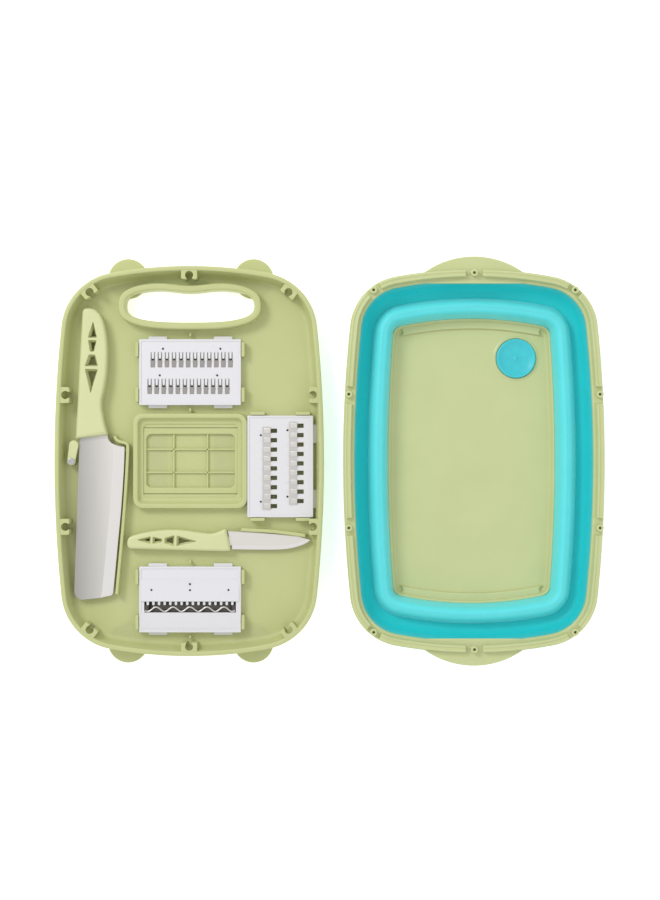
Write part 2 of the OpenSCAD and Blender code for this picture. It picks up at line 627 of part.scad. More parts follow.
// Upper band of the silicone wall: hangs from the rim and slopes in to the fold's valley
module basin_wall_upper() color(teal) at_basin() lofted_ring([
    [fold_o, -silicone_t, valley_h + 1.5], [board_o, wall_top_in - silicone_t, rim_floor],
    [board_o, wall_top_in, rim_floor], [fold_o, 0, valley_h + silicone_t], [fold_o, 0, valley_h],
    [fold_o, -silicone_t / 2, valley_h]]);

// The web that turns inside out: rises from the valley to the ridge when the basin is folded
module basin_wall_fold() color(teal) at_basin() lofted_ring([
    [fold_o, 0, valley_h], [fold_o, 0, valley_h + silicone_t],
    [ridge_o, -silicone_t, ridge_h - 1.5], [ridge_o, -silicone_t / 2, ridge_h],
    [ridge_o, 0, ridge_h], [ridge_o, 0, ridge_h - silicone_t],
    [fold_o, silicone_t, valley_h + 1.5], [fold_o, silicone_t / 2, valley_h]]);

// Lower band: grips the base's wall and carries the ridge
base_wall_top = 11;
module basin_wall_lower() color(teal) at_basin() lofted_ring([
    [base_o, -silicone_t, 2.5], [base_o, -silicone_t, base_wall_top],
    [ridge_o, 0, ridge_h - silicone_t], [ridge_o, 0, ridge_h],
    [ridge_o, silicone_t / 2, ridge_h], [ridge_o, silicone_t, ridge_h - 1.5],
    [base_o, 0, base_wall_top], [base_o, 0, 2.5]]);

drain_at = [base_a - 38.3, base_b - 39.5];
drain_r = plug_r - 5;
base_floor = 2 + base_t;

module basin_base() color(green) at_basin() difference() {
    union() {
        translate([0, 0, 2]) plate(base_o, 1, base_t);
        lofted_ring([[base_o, 0, 2], [base_o, 0, base_wall_top], [base_o, 1.8, base_wall_top],
            [base_o, 4.2, base_floor - 0.4], [base_o, 4.2, 2.5]]);
        band(base_o, 2.6, 7.8, 2 + eps);
        translate([drain_at[0], drain_at[1], 2]) cylinder(h = base_t + 1, r = plug_r + 2.5);
        for (sy = [-1, 1]) translate([0, sy * (base_b - 12.5), base_floor - eps])
            rounded(2 * base_a - 24, 8, 3, 1.2);
    }
    translate([drain_at[0], drain_at[1], base_floor - 1]) cylinder(h = 10, r = plug_r + 0.4);
    for (i = [0:5]) translate([drain_at[0], drain_at[1], -1]) rotate(i * 60)
        translate([0, drain_r * 0.62, 0]) cylinder(h = 12, r = 3.2);
    translate([drain_at[0], drain_at[1], -1]) cylinder(h = 12, r = 3.4);
}

// A soft dished plug: a seal disc with a rolled edge and a stem that enters the middle drain hole
module drain_plug() color(teal) at_basin() translate([drain_at[0], drain_at[1], base_floor - 1 + touch])
    rotate_extrude() polygon([[0, -2.6], [2.6, -2.6], [3, -1.6], [3, 0], [plug_r, 0], [plug_r, 3.2], [plug_r - 0.8, 4.2],
        [plug_r - 2.2, 4.2], [plug_r - 4, 3.1], [9, 2.1], [2, 1.8], [1.4, 2.5], [0, 2.8]]);

// ---------------------------------------------------------------- the set

board_tray();
latch_screw();
latch_lever();
window_insert();
cleaver_handle();
cleaver_blade();
paring_handle();
paring_blade();
fine_frame();
fine_blades();
fine_pins();
coarse_frame();
coarse_blades();
coarse_pins();
wavy_frame();
wavy_blade();
wavy_pins();
basin_rim();
basin_wall_upper();
basin_wall_fold();
basin_wall_lower();
basin_base();
drain_plug();
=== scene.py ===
# %% [markdown]
# # A mandoline slicer set
# The set lies open in two halves. One is a cutting board whose storage side holds two knives, three blade
# cartridges and a window insert. The other is a folding silicone basin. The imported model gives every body,
# joint and place; here each visible piece is rebuilt with real edge rounding and a finish of its own.

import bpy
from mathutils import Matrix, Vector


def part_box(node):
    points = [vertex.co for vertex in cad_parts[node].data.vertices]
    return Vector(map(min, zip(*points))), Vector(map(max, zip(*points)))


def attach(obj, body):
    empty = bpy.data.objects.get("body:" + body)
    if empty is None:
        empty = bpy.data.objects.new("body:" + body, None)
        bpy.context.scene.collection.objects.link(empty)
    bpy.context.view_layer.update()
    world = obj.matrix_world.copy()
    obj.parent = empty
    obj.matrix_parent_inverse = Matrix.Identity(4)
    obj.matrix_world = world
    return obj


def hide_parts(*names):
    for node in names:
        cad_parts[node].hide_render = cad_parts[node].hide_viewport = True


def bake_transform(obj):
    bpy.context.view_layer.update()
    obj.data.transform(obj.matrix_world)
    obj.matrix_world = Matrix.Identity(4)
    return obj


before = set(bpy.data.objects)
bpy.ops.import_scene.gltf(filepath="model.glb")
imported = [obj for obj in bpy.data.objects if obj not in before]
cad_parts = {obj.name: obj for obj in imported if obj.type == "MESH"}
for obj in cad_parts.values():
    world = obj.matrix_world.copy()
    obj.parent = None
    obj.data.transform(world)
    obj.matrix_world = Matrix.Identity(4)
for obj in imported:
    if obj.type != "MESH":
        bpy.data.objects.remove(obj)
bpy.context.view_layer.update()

from math import acos, asin, atan2, cos, exp, pi, radians, sin, sqrt

import bmesh
import bpy
from mathutils import Matrix, Vector

# %% [markdown]
# ## Camera, floor and light
# The set is seen from straight above, so the camera hangs over the middle of both halves with a long lens,
# which keeps the walls from leaning outwards. A broad soft light from the upper left gives the shallow
# shadows of a product table, and a bright world fills the rest so that no side goes black.

# %% Camera
VIEW_DISTANCE = 1.6
SENSOR = 36.0
VIEW_HEIGHT = 0.8865         # metres seen along the picture's long side, at the height of the board's lip
LIP_HEIGHT = 0.024
OFFSET = Vector((0.0018, 0.0108))

camera_data = bpy.data.cameras.new("camera")
camera_data.sensor_width = SENSOR
camera_data.lens = SENSOR * (VIEW_DISTANCE - LIP_HEIGHT) / VIEW_HEIGHT
camera = bpy.data.objects.new("camera", camera_data)
camera.location = (OFFSET.x, OFFSET.y, VIEW_DISTANCE)
bpy.context.scene.collection.objects.link(camera)
bpy.context.scene.camera = camera
bpy.context.scene.view_settings.view_transform = "Standard"

# %% [markdown]
# ### Light
# Two large soft lamps and a bright, even surrounding give pale shadows, as on a product table.

# %% Lights
def soft_light(name, place, size, watts, colour=(1.0, 1.0, 1.0)):
    light = bpy.data.lights.new(name, "AREA")
    light.shape = "DISK"
    light.size = size
    light.energy = watts
    light.color = colour
    lamp = bpy.data.objects.new(name, light)
    lamp.location = place
    lamp.rotation_euler = Vector(place).to_track_quat("Z", "Y").to_euler()
    bpy.context.scene.collection.objects.link(lamp)


soft_light("key_light", (-1.1, 1.0, 1.5), 0.7, 15)
soft_light("fill_light", (1.3, -0.7, 1.6), 1.6, 2.5)

world = bpy.data.worlds.new("studio")
bpy.context.scene.world = world
world.use_nodes = True
world.node_tree.nodes["Background"].inputs["Color"].default_value = (1.0, 1.0, 1.0, 1.0)
world.node_tree.nodes["Background"].inputs["Strength"].default_value = 0.78

# %% [markdown]
# ## Working with finishes
# A finish is a small node tree. One helper adds a node, sets it and links it, so a material reads as a list
# of what the real surface is made of. Colours are written as the sRGB hex values a designer would quote, and
# one function turns them to the linear light values that the shader works in.

# %% Material helpers
def linear(hex_colour):
    channels = [int(hex_colour[i:i + 2], 16) / 255 for i in (1, 3, 5)]
    return tuple(c / 12.92 if c <= 0.04045 else ((c + 0.055) / 1.055) ** 2.4 for c in channels) + (1.0,)


def add_node(material, kind, settings=None, links=None):
    """Adds a node. settings are its attributes or its inputs' values; links are what feeds its inputs."""
    made = material.node_tree.nodes.new(kind)
    for key, value in (settings or {}).items():
        if hasattr(made, str(key)):
            setattr(made, key, value)
        else:
            made.inputs[key].default_value = value
    for key, source in (links or {}).items():
        material.node_tree.links.new(source, made.inputs[key])
    return made


def new_finish(name, colour, roughness, **sockets):
    material = bpy.data.materials.new(name)
    material.use_nodes = True
    shader = material.node_tree.nodes["Principled BSDF"]
    shader.inputs["Base Color"].default_value = linear(colour)
    shader.inputs["Roughness"].default_value = roughness
    for socket, value in sockets.items():
        shader.inputs[socket.replace("_", " ")].default_value = value
    return material, shader


def per_mm(size_mm):
    """The texture scale, in cycles a metre, of a pattern whose features are size_mm across."""
    return 1000.0 / size_mm


# %% [markdown]
# ### Moulded polypropylene
# The board, the handles and the basin's rim are injection-moulded polypropylene. It is slightly waxy: a
# broad, soft highlight, an IOR of 1.49, and light that travels a little way into the skin. The tool is
# spark-eroded to a fine grain, about a quarter of a millimetre, and the flow of the melt leaves a very faint
# cloudiness some centimetres across. The grain is too fine for the picture, so it is drawn at 0.6 mm.

# %% Polypropylene
def polypropylene(name, colour, cloud, roughness, grain=0.05):
    material, shader = new_finish(name, colour, roughness, IOR=1.49, Subsurface_Weight=0.12,
                                  Subsurface_Radius=(0.004, 0.004, 0.002), Subsurface_Scale=1.0)
    place = add_node(material, "ShaderNodeTexCoord").outputs["Object"]
    clouds = add_node(material, "ShaderNodeTexNoise", {"Scale": per_mm(45), "Detail": 2.0}, {"Vector": place})
    tint = add_node(material, "ShaderNodeMix", {"data_type": "RGBA", 6: linear(colour), 7: linear(cloud)},
                    {0: clouds.outputs["Fac"]})
    material.node_tree.links.new(tint.outputs[2], shader.inputs["Base Color"])
    speckle = add_node(material, "ShaderNodeTexNoise", {"Scale": per_mm(0.6), "Detail": 1.0},
                       {"Vector": place})
    bump = add_node(material, "ShaderNodeBump", {"Strength": grain, "Distance": 0.0003},
                    {"Height": speckle.outputs["Fac"]})
    material.node_tree.links.new(bump.outputs["Normal"], shader.inputs["Normal"])
    polish_range = {"To Min": roughness - 0.05, "To Max": roughness + 0.07}
    polish_and_painted_shade_ramp = add_node(material, "ShaderNodeMapRange", polish_range, {"Value": clouds.outputs["Fac"]})
    material.node_tree.links.new(polish_and_painted_shade_ramp.outputs["Result"], shader.inputs["Roughness"])
    return material


board_pp = polypropylene("moulded_polypropylene_board", "#c8cd94", "#bfc489", 0.42)
handle_pp = polypropylene("moulded_polypropylene_handle", "#d6daa8", "#d0d49f", 0.40)
basin_pp = polypropylene("moulded_polypropylene_basin", "#ced49d", "#c4cb93", 0.36)

# %% [markdown]
# ### Silicone
# The folding wall and the plug are moulded silicone rubber. It is a satin, slightly cloudy solid that
# light enters and leaves again, so its shadows stay coloured. Its IOR is 1.41, and a trace of sheen stands
# for the fine bloom that catches light at glancing angles.

# %% Silicone
def silicone(name, colour, cloud, roughness=0.46):
    material, shader = new_finish(name, colour, roughness, IOR=1.41, Subsurface_Weight=0.25,
                                  Subsurface_Radius=(0.002, 0.006, 0.006), Subsurface_Scale=1.0,
                                  Sheen_Weight=0.15, Sheen_Roughness=0.5)
    place = add_node(material, "ShaderNodeTexCoord").outputs["Object"]
    clouds = add_node(material, "ShaderNodeTexNoise", {"Scale": per_mm(30), "Detail": 3.0}, {"Vector": place})
    tint = add_node(material, "ShaderNodeMix", {"data_type": "RGBA", 6: linear(colour), 7: linear(cloud)},
                    {0: clouds.outputs["Fac"]})
    material.node_tree.links.new(tint.outputs[2], shader.inputs["Base Color"])
    skin = add_node(material, "ShaderNodeTexNoise", {"Scale": per_mm(1.2), "Detail": 2.0}, {"Vector": place})
    bump = add_node(material, "ShaderNodeBump", {"Strength": 0.06, "Distance": 0.0004},
                    {"Height": skin.outputs["Fac"]})
    material.node_tree.links.new(bump.outputs["Normal"], shader.inputs["Normal"])
    return material


# The wall is one silicone in two colours: the upper band's darker teal is painted shade for its steep slope
# below the rim, and the fold's paler cyan is painted light for its lit ridge.
painted_shade_silicone = silicone("moulded_silicone_wall_painted_shade", "#24cfd3", "#1fc6cb")
painted_light_silicone = silicone("moulded_silicone_fold_painted_light", "#66e4ea", "#5adfe6")
plug_silicone = silicone("moulded_silicone_plug", "#49cfdb", "#3fc6d3", 0.38)

# %% [markdown]
# ### ABS
# The cartridges are white ABS with a slight cool cast, moulded in a polished tool. It is harder and
# glossier than the green parts. A faint mottle in the gloss, a few millimetres across, is what a polished
# moulding shows under a soft light.

# %% ABS
def abs_plastic(name, colour, roughness=0.33):
    material, shader = new_finish(name, colour, roughness, IOR=1.53, Subsurface_Weight=0.08,
                                  Subsurface_Radius=(0.003, 0.003, 0.003), Subsurface_Scale=1.0)
    place = add_node(material, "ShaderNodeTexCoord").outputs["Object"]
    mottle = add_node(material, "ShaderNodeTexNoise", {"Scale": per_mm(6), "Detail": 2.0}, {"Vector": place})
    gloss = add_node(material, "ShaderNodeMapRange", {"To Min": roughness - 0.06, "To Max": roughness + 0.08},
                     {"Value": mottle.outputs["Fac"]})
    material.node_tree.links.new(gloss.outputs["Result"], shader.inputs["Roughness"])
    bump = add_node(material, "ShaderNodeBump", {"Strength": 0.03, "Distance": 0.0003},
                    {"Height": mottle.outputs["Fac"]})
    material.node_tree.links.new(bump.outputs["Normal"], shader.inputs["Normal"])
    return material


cartridge_abs = abs_plastic("moulded_abs_white", "#e3e2e6")

# %% [markdown]
# ### Stainless steel
# The knife blades are ground and then brushed. Brushing leaves long, fine scratches in one direction; they
# stretch every highlight across themselves. The scratches are about 0.05 mm apart, which no picture of the
# whole set could show, so they are drawn 0.5 mm apart and 60 mm long. The teeth are stamped sheet: the same
# steel with a bright rolled skin and short, irregular rolling marks.

# %% Steel
def steel(name, colour, roughness, mark_mm, mark_length_mm, along="X", depth=0.12, painted_shade_colour=None):
    """The colour painted at the piece's low-x side: painted shade, darker steel that blends into the full
    colour towards high x.
    """
    material, shader = new_finish(name, colour, roughness, Metallic=1.0)
    coordinates = add_node(material, "ShaderNodeTexCoord")
    place = coordinates.outputs["Object"]
    # Painted shade: the base colour darkens towards the piece's low-x side, standing in for a dimmer
    # reflection there.
    if painted_shade_colour:
        across_piece = {"Vector": coordinates.outputs["Generated"]}
        sides = add_node(material, "ShaderNodeSeparateXYZ", links=across_piece)
        polish_and_painted_shade_ramp = add_node(material, "ShaderNodeMapRange", {"From Min": 0.05, "From Max": 0.75},
                          {"Value": sides.outputs["X"]})
        tone = add_node(material, "ShaderNodeMix", {"data_type": "RGBA", 6: linear(painted_shade_colour), 7: linear(colour)},
                        {0: polish_and_painted_shade_ramp.outputs["Result"]})
        material.node_tree.links.new(tone.outputs[2], shader.inputs["Base Color"])
    across, down = per_mm(mark_mm), per_mm(mark_length_mm)
    scale = (down, across, across) if along == "X" else (across, down, across)
    stretched = add_node(material, "ShaderNodeMapping", {"Scale": scale}, {"Vector": place})
    marks = add_node(material, "ShaderNodeTexNoise", {"Scale": 1.0, "Detail": 3.0},
                     {"Vector": stretched.outputs["Vector"]})
    satin = add_node(material, "ShaderNodeMapRange", {"To Min": roughness - 0.08, "To Max": roughness + 0.12},
                     {"Value": marks.outputs["Fac"]})
    material.node_tree.links.new(satin.outputs["Result"], shader.inputs["Roughness"])
    bump = add_node(material, "ShaderNodeBump", {"Strength": depth, "Distance": 0.0002},
                    {"Height": marks.outputs["Fac"]})
    material.node_tree.links.new(bump.outputs["Normal"], shader.inputs["Normal"])
    return material


# The cleaver's steel is painted darker towards its spine: painted shade for the dimmer reflection on that
# side.
cleaver_steel_painted_shade = steel("brushed_stainless_cleaver_painted_shade", "#e9e6e1", 0.36, 0.5, 60, along="Y", painted_shade_colour="#b7b6b1")
ground_steel = steel("ground_stainless_edge", "#f6f4f0", 0.30, 0.4, 12, along="X")
paring_steel = steel("brushed_stainless_paring", "#eeebe4", 0.34, 0.5, 40, along="X")
sheet_steel = steel("stamped_stainless_sheet", "#b5b1ac", 0.28, 0.8, 6, along="X", depth=0.05)
comb_steel = steel("rolled_stainless_comb", "#dddad6", 0.30, 0.8, 6, along="X", depth=0.05)
# Painted shade: a dark copy of the rolled steel, for the crinkle blade's sheet in the shadow under the face.
painted_shade_sheet_steel = steel("rolled_stainless_painted_shade", "#5f5c58", 0.40, 0.8, 6, along="X", depth=0.05)
blackened_steel = steel("blackened_steel_pins", "#4a4744", 0.40, 0.6, 1.5, along="X", depth=0.03)
turned_steel = steel("turned_stainless_fasteners", "#cfcfcf", 0.22, 0.6, 1.5, along="X", depth=0.03)

# %% [markdown]
# ## Shapes
# Nearly everything here is a plate or a ring: an outline that is carried along a cross-section. So two
# builders do most of the work. `skin` joins loops of equal length into a surface, and `cap` fills the flat
# areas between an outer loop and the loops of its holes. All sizes are millimetres until a piece is
# finished, and each edge is rounded in the mesh itself, so the roundness is there from every side.

# %% Mesh helpers
MM = 0.001


def skin(mesh, loops, closed_section=False):
    """Joins loops of 3D points, in order, with quads. Returns the vertices of every loop."""
    rows = [[mesh.verts.new(point) for point in loop] for loop in loops]
    pairs = list(zip(rows, rows[1:])) + ([(rows[-1], rows[0])] if closed_section else [])
    for low, high in pairs:
        for i in range(len(low)):
            j = (i + 1) % len(low)
            mesh.faces.new((low[i], low[j], high[j], high[i]))
    return rows


def cap(mesh, rows):
    """Fills the flat area between the first row of vertices and the rows of its holes."""
    edges = []
    for row in rows:
        for i in range(len(row)):
            edges.append(mesh.edges.get((row[i], row[(i + 1) % len(row)])))
    bmesh.ops.triangle_fill(mesh, use_beauty=True, use_dissolve=False, edges=edges)


def lifted(loop, height):
    return [Vector((p[0], p[1], height)) for p in loop]


def moved_in(loop, distance):
    """Moves each point of a counter-clockwise loop towards the inside, square to the outline."""
    moved = []
    for i, here in enumerate(loop):
        before, after = loop[i - 1], loop[(i + 1) % len(loop)]
        a = Vector((here[0] - before[0], here[1] - before[1])).normalized()
        b = Vector((after[0] - here[0], after[1] - here[1])).normalized()
        normal = Vector((-a.y - b.y, a.x + b.x)).normalized()
        mitre = max(0.35, normal.dot(Vector((-b.y, b.x))))
        moved.append(Vector((here[0], here[1])) + normal * (distance / mitre))
    return moved


# %% [markdown]
# ### Plates and turned parts
# Most of the flat pieces are plates: one outline raised to a height, with its edges rounded. Round ones are
# turned, as on a lathe: a profile swept about an upright axis. A bevel modifier would do the rounding too,
# but it stumbles on outlines with many short edges.

# %% Plates and turned parts
def rounding(soft, steps):
    """Insets and depths of a quarter round, from the flat face to the side."""
    angles = [k * pi / 2 / steps for k in range(steps + 1)]
    return [(soft * (1 - sin(a)), soft * (1 - cos(a))) for a in angles]


def plate(mesh, outline, low, high, soft=0.4, holes=(), hole_soft=None, steps=3, at=Matrix()):
    """A plate with rounded edges. outline and holes run counter-clockwise; at places it in the row frame."""
    hole_soft = soft if hole_soft is None else hole_soft
    start = len(mesh.verts)
    tops, bottoms = [], []
    for loop, edge, sign in [(outline, soft, 1)] + [(hole, hole_soft, -1) for hole in holes]:
        quarter = rounding(edge, steps)
        levels = [(inset, low + depth) for inset, depth in quarter]
        levels += [(inset, high - depth) for inset, depth in reversed(quarter)]
        rows = skin(mesh, [lifted(moved_in(loop, sign * inset), z) for inset, z in levels])
        bottoms.append(rows[0])
        tops.append(rows[-1])
    cap(mesh, tops)
    cap(mesh, bottoms)
    mesh.verts.ensure_lookup_table()
    bmesh.ops.transform(mesh, matrix=at, verts=mesh.verts[start:])


def turned(mesh, profile, centre, steps=32, at=Matrix()):
    """A turned solid: the profile's (radius, height) points carried round a vertical axis."""
    start = len(mesh.verts)
    loops = []
    for radius, height in profile:
        r = max(radius, 0.001)
        loop = []
        for i in range(steps):
            a = 2 * pi * i / steps
            loop.append(Vector((centre[0] + r * cos(a), centre[1] + r * sin(a), height)))
        loops.append(loop)
    skin(mesh, loops, closed_section=True)
    bmesh.ops.transform(mesh, matrix=at, verts=list(mesh.verts)[start:])


# %% [markdown]
# ### Outlines
# The pieces need arcs, rounded rectangles, circles and smooth curves through a few points. softened() is for
# cross-sections: it rounds each listed corner by its own radius.

# %% Outline helpers
def arc(centre, radius, first, last, steps):
    """Points of an arc, without its last one."""
    angles = [first + (last - first) * i / steps for i in range(steps)]
    return [Vector((centre[0] + radius * cos(a), centre[1] + radius * sin(a))) for a in angles]


def rectangle(half_x, half_y, radius, steps=5, centre=(0.0, 0.0)):
    loop = []
    for quarter, (sx, sy) in enumerate(((1, 1), (-1, 1), (-1, -1), (1, -1))):
        corner = (centre[0] + sx * (half_x - radius), centre[1] + sy * (half_y - radius))
        loop += arc(corner, radius, quarter * pi / 2, (quarter + 1) * pi / 2, steps)
        loop.append(Vector((corner[0] + radius * cos((quarter + 1) * pi / 2),
                            corner[1] + radius * sin((quarter + 1) * pi / 2))))
    return loop


def circle(centre, radius, steps=32):
    return arc(centre, radius, 0, 2 * pi, steps)


def smooth_loop(points, steps=6, closed=True):
    """A Catmull-Rom curve through the points."""
    points = [Vector(p) for p in points]
    count = len(points)
    loop = []
    for i in range(count if closed else count - 1):
        b, c = points[i], points[(i + 1) % count]
        a = points[i - 1] if closed or i > 0 else 2 * b - c
        d = points[(i + 2) % count] if closed or i < count - 2 else 2 * c - b
        for k in range(steps):
            t = k / steps
            loop.append(0.5 * (2 * b + (c - a) * t + (2 * a - 5 * b + 4 * c - d) * t * t
                               + (3 * b - a - 3 * c + d) * t ** 3))
    if not closed:
        loop.append(points[-1])
    return loop


def softened(points, steps=4):
    """Rounds the corners of an open cross-section. Each point is (across, height, radius)."""
    section = []
    for i, (x, z, radius) in enumerate(points):
        here = Vector((x, z))
        if radius == 0 or i in (0, len(points) - 1):
            section.append(here)
            continue
        before = Vector(points[i - 1][:2]) - here
        after = Vector(points[i + 1][:2]) - here
        reach = min(radius, before.length * 0.49, after.length * 0.49)
        first, last = here + before.normalized() * reach, here + after.normalized() * reach
        for k in range(steps + 1):
            t = k / steps
            section.append(first * (1 - t) ** 2 + here * 2 * t * (1 - t) + last * t * t)
    return section


# %% [markdown]
# ## The bowed outlines
# Both halves share one outline: long sides and ends that bow outwards on large arcs, joined by corner arcs
# that meet them smoothly. Because the arcs share their centres, moving the outline in or out only changes
# the radii, so every lip, ridge and groove stays parallel to it.

# %% Bowed outlines
BOARD = (133.0, 192.5, 1290.0, 424.0, 59.0)     # half width, half length, side, end and corner radii
FOLD = (103.0, 160.9, 1400.0, 380.0, 30.0)
RIDGE = (93.0, 151.2, 1500.0, 360.0, 19.0)
BASE = (83.0, 141.5, 1630.0, 340.0, 9.0)


def arc_centres(shape):
    half_w, half_l, side_r, end_r, corner_r = shape
    side, end = Vector((half_w - side_r, 0)), Vector((0, half_l - end_r))
    gap = side - end
    along = (gap.length_squared + (end_r - corner_r) ** 2 - (side_r - corner_r) ** 2) / (2 * gap.length)
    up = sqrt((end_r - corner_r) ** 2 - along ** 2)
    u = gap.normalized()
    return side, end, end + u * along + Vector((u.y, -u.x)) * up


def bowed(shape, inset=0.0, steps=20):
    side, end, corner = arc_centres(shape)
    side_r, end_r, corner_r = shape[2:]
    first = atan2(*(corner - side).yx)
    last = atan2(*(corner - end).yx)
    quarter = arc(side, side_r - inset, 0, first, steps) + arc(corner, corner_r - inset, first, last, steps)
    quarter += arc(end, end_r - inset, last, pi / 2, steps)
    upper = quarter + [Vector((0, shape[1] - inset))] + [Vector((-p.x, p.y)) for p in reversed(quarter[1:])]
    return upper + [-p for p in upper]


def between(shape_a, shape_b, share):
    return [a.lerp(b, share) for a, b in zip(bowed(shape_a), bowed(shape_b))]


# %% [markdown]
# ### Where the posts stand
# Ten posts on the rim snap into ten sockets inside the board's wall. Both halves use one list of places
# and directions, so that they always meet.

# %% Post places
POST_INSET = 9.2
SIDE_POST_Y = 65.0
CORNER_POST_ANGLE = radians(52)


def post_places():
    """(x, y, outward angle) of the ten posts, and of the ten sockets that they snap into."""
    reach = BOARD[2] - POST_INSET
    side_angle = asin(SIDE_POST_Y / reach)
    side_x = BOARD[0] - BOARD[2] + reach * cos(side_angle)
    corner = arc_centres(BOARD)[2]
    corner_reach = BOARD[4] - POST_INSET
    x, y = corner.x + corner_reach * cos(CORNER_POST_ANGLE), corner.y + corner_reach * sin(CORNER_POST_ANGLE)
    places = []
    for sy in (-1, 1):
        places.append((0.0, sy * (BOARD[1] - POST_INSET), sy * pi / 2))
        for sx in (-1, 1):
            places.append((sx * side_x, sy * SIDE_POST_Y, 0.0 if sx > 0 else pi))
            places.append((sx * x, sy * y, atan2(sy * sin(CORNER_POST_ANGLE), sx * cos(CORNER_POST_ANGLE))))
    return places


POSTS = post_places()

# %% [markdown]
# ### Where the halves lie
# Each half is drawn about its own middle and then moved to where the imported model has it.

# %% Places of the halves
tray_low, tray_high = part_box("board_tray")
rim_low, rim_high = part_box("basin_rim")
BOARD_X = (tray_low.x + tray_high.x) / 2 / MM
BASIN_X = (rim_low.x + rim_high.x) / 2 / MM
AT_BOARD = Matrix.Translation((BOARD_X, 0, 0))
AT_BASIN = Matrix.Translation((BASIN_X, 0, 0))
print("board at x =", round(BOARD_X, 2), "mm, basin at x =", round(BASIN_X, 2), "mm")


# %% [markdown]
# ### Finishing a piece
# A finished piece is scaled to metres, shaded smooth with its sharp edges kept, and tied to the body it moves
# with, and the part of the imported model that it stands for is hidden.

# %% Finishing a piece
def finish_piece(name, mesh, materials, body, replaced, sharp=32):
    """Turns the millimetre mesh into an object that rides on its body and hides the CAD nodes it stands for.
    """
    bmesh.ops.remove_doubles(mesh, verts=mesh.verts, dist=0.0005)
    bmesh.ops.scale(mesh, vec=(MM, MM, MM), verts=mesh.verts)
    bmesh.ops.recalc_face_normals(mesh, faces=mesh.faces)
    data = bpy.data.meshes.new(name)
    mesh.to_mesh(data)
    mesh.free()
    for material in materials:
        data.materials.append(material)
    data.shade_smooth()
    data.set_sharp_from_angle(angle=radians(sharp))
    piece = bpy.data.objects.new(name, data)
    bpy.context.scene.collection.objects.link(piece)
    flat_faces = piece.modifiers.new("flat_faces", "WEIGHTED_NORMAL")
    flat_faces.keep_sharp = True
    if body:
        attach(piece, body)
    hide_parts(*replaced)
    print(name, len(data.polygons), "faces")
    return piece


# %% [markdown]
# ## The board's tray
# The tray is one moulding: a floor, a wall that leans out to a rounded lip, and collars round the grip and
# the window. A box modelled by hand would need its edges bevelled after every change. Here the wall is a
# cross-section carried round the outline, from the underside, over the lip and down into the floor's fillet.
# The floor is then filled between the wall and the collars, so the tray is one closed skin.

# %% Tray sizes
BOARD_H = 24.0
FLOOR = 3.5
LIP = 4.6
GRIP = (63.5, 16.5, 154.0)
GRIP_COLLAR = 7.5
GRIP_H = 17.5
WINDOW_H = 13.0
CART = (101.0, 65.4, 9.0)
WINDOW = (CART[0] / 2 + 0.5, CART[1] / 2 + 0.5)
VIEW = (CART[0] / 2 - 3.7, CART[1] / 2 + 3.8)
COLLAR = (WINDOW[0] + 5.9, VIEW[1] + 11.0)

TRAY_SECTION = [(22.0, 0.0, 0), (21.2, 1.2, 0.6), (17.8, 1.2, 0.6), (17.0, 0.0, 0.4), (3.0, 0.0, 2.0),
                (0.5, 11.0, 6.0), (0.0, BOARD_H, 1.7), (LIP, BOARD_H, 1.7), (6.2, 13.0, 6.0),
                (8.6, FLOOR, 5.5), (17.0, FLOOR, 0)]
GRIP_SECTION = [(GRIP_COLLAR + 2.2, FLOOR, 0), (GRIP_COLLAR, FLOOR, 1.6), (GRIP_COLLAR - 0.4, GRIP_H, 2.2),
                (0.4, GRIP_H, 2.4), (0.0, 0.0, 1.2), (1.6, 0.0, 0)]
print("slicing window, mm:", 2 * WINDOW[0], "x", round(2 * WINDOW[1], 1))

# %% [markdown]
# The grip is a flat oval that dips for the fingers. Beside it the wall's fillet has less room, so there the
# outline is moved in by less.

# %% Tray outlines
def grip_outline(grow, count=144):
    """A flat oval whose side towards the board's end dips for the fingers."""
    loop = []
    for i in range(count):
        a = 2 * pi * i / count
        power = 2 / 2.8
        x = (GRIP[0] + grow) * (1 if cos(a) > 0 else -1) * abs(cos(a)) ** power
        y = (GRIP[1] + grow) * (1 if sin(a) > 0 else -1) * abs(sin(a)) ** power
        dip = 4 * exp(-(x / 24) ** 2) if 0 < a < pi else 0
        loop.append(Vector((x, GRIP[2] + y - dip)))
    return loop


def tray_loop(inset, height):
    """The outline moved in, but by 11 mm at most beside the grip, whose collar meets the wall's fillet."""
    near, full = bowed(BOARD, min(inset, 11.0)), bowed(BOARD, inset)
    loop = []
    for a, b in zip(near, full):
        share = 1.0 if a.y < 0 else min(1.0, max(0.0, (abs(a.x) - 74) / 24))
        loop.append(a.lerp(b, share))
    return lifted(loop, height)


def window_steps():
    """The collar and the window, from the floor over the collar and down to the cutting face.

    Each step is half a width, half a height, a corner radius and a level.
    """
    x, y = COLLAR
    steps = [(x + grow, y + grow, radius, level) for grow, radius, level in (
        (1.6, 11.4, FLOOR), (0.5, 10.4, FLOOR + 0.4), (0.0, 10, FLOOR + 1.8), (-0.2, 9.8, WINDOW_H - 1.2),
        (-0.7, 9.4, WINDOW_H - 0.3), (-1.6, 8.6, WINDOW_H), (-4.0, 6.4, WINDOW_H),
        (-4.8, 5.8, WINDOW_H - 0.4), (-5.2, 5.4, WINDOW_H - 1.3))]
    steps += [(x - 6.2, y - 7.0, 4.8, 8.2), (x - 6.9, y - 8.0, 4.4, 7.6)]
    x, y = VIEW
    steps += [(x + 0.6, y + 0.6, 4.3, 7.4), (x + 0.1, y + 0.1, 4.1, 7.0), (x, y, 4, 6.2)]
    x, y = WINDOW
    return steps + [(x, y, 3, 6.2), (x, y, 3, 0.3), (x + 0.3, y + 0.3, 3.2, 0.0)]


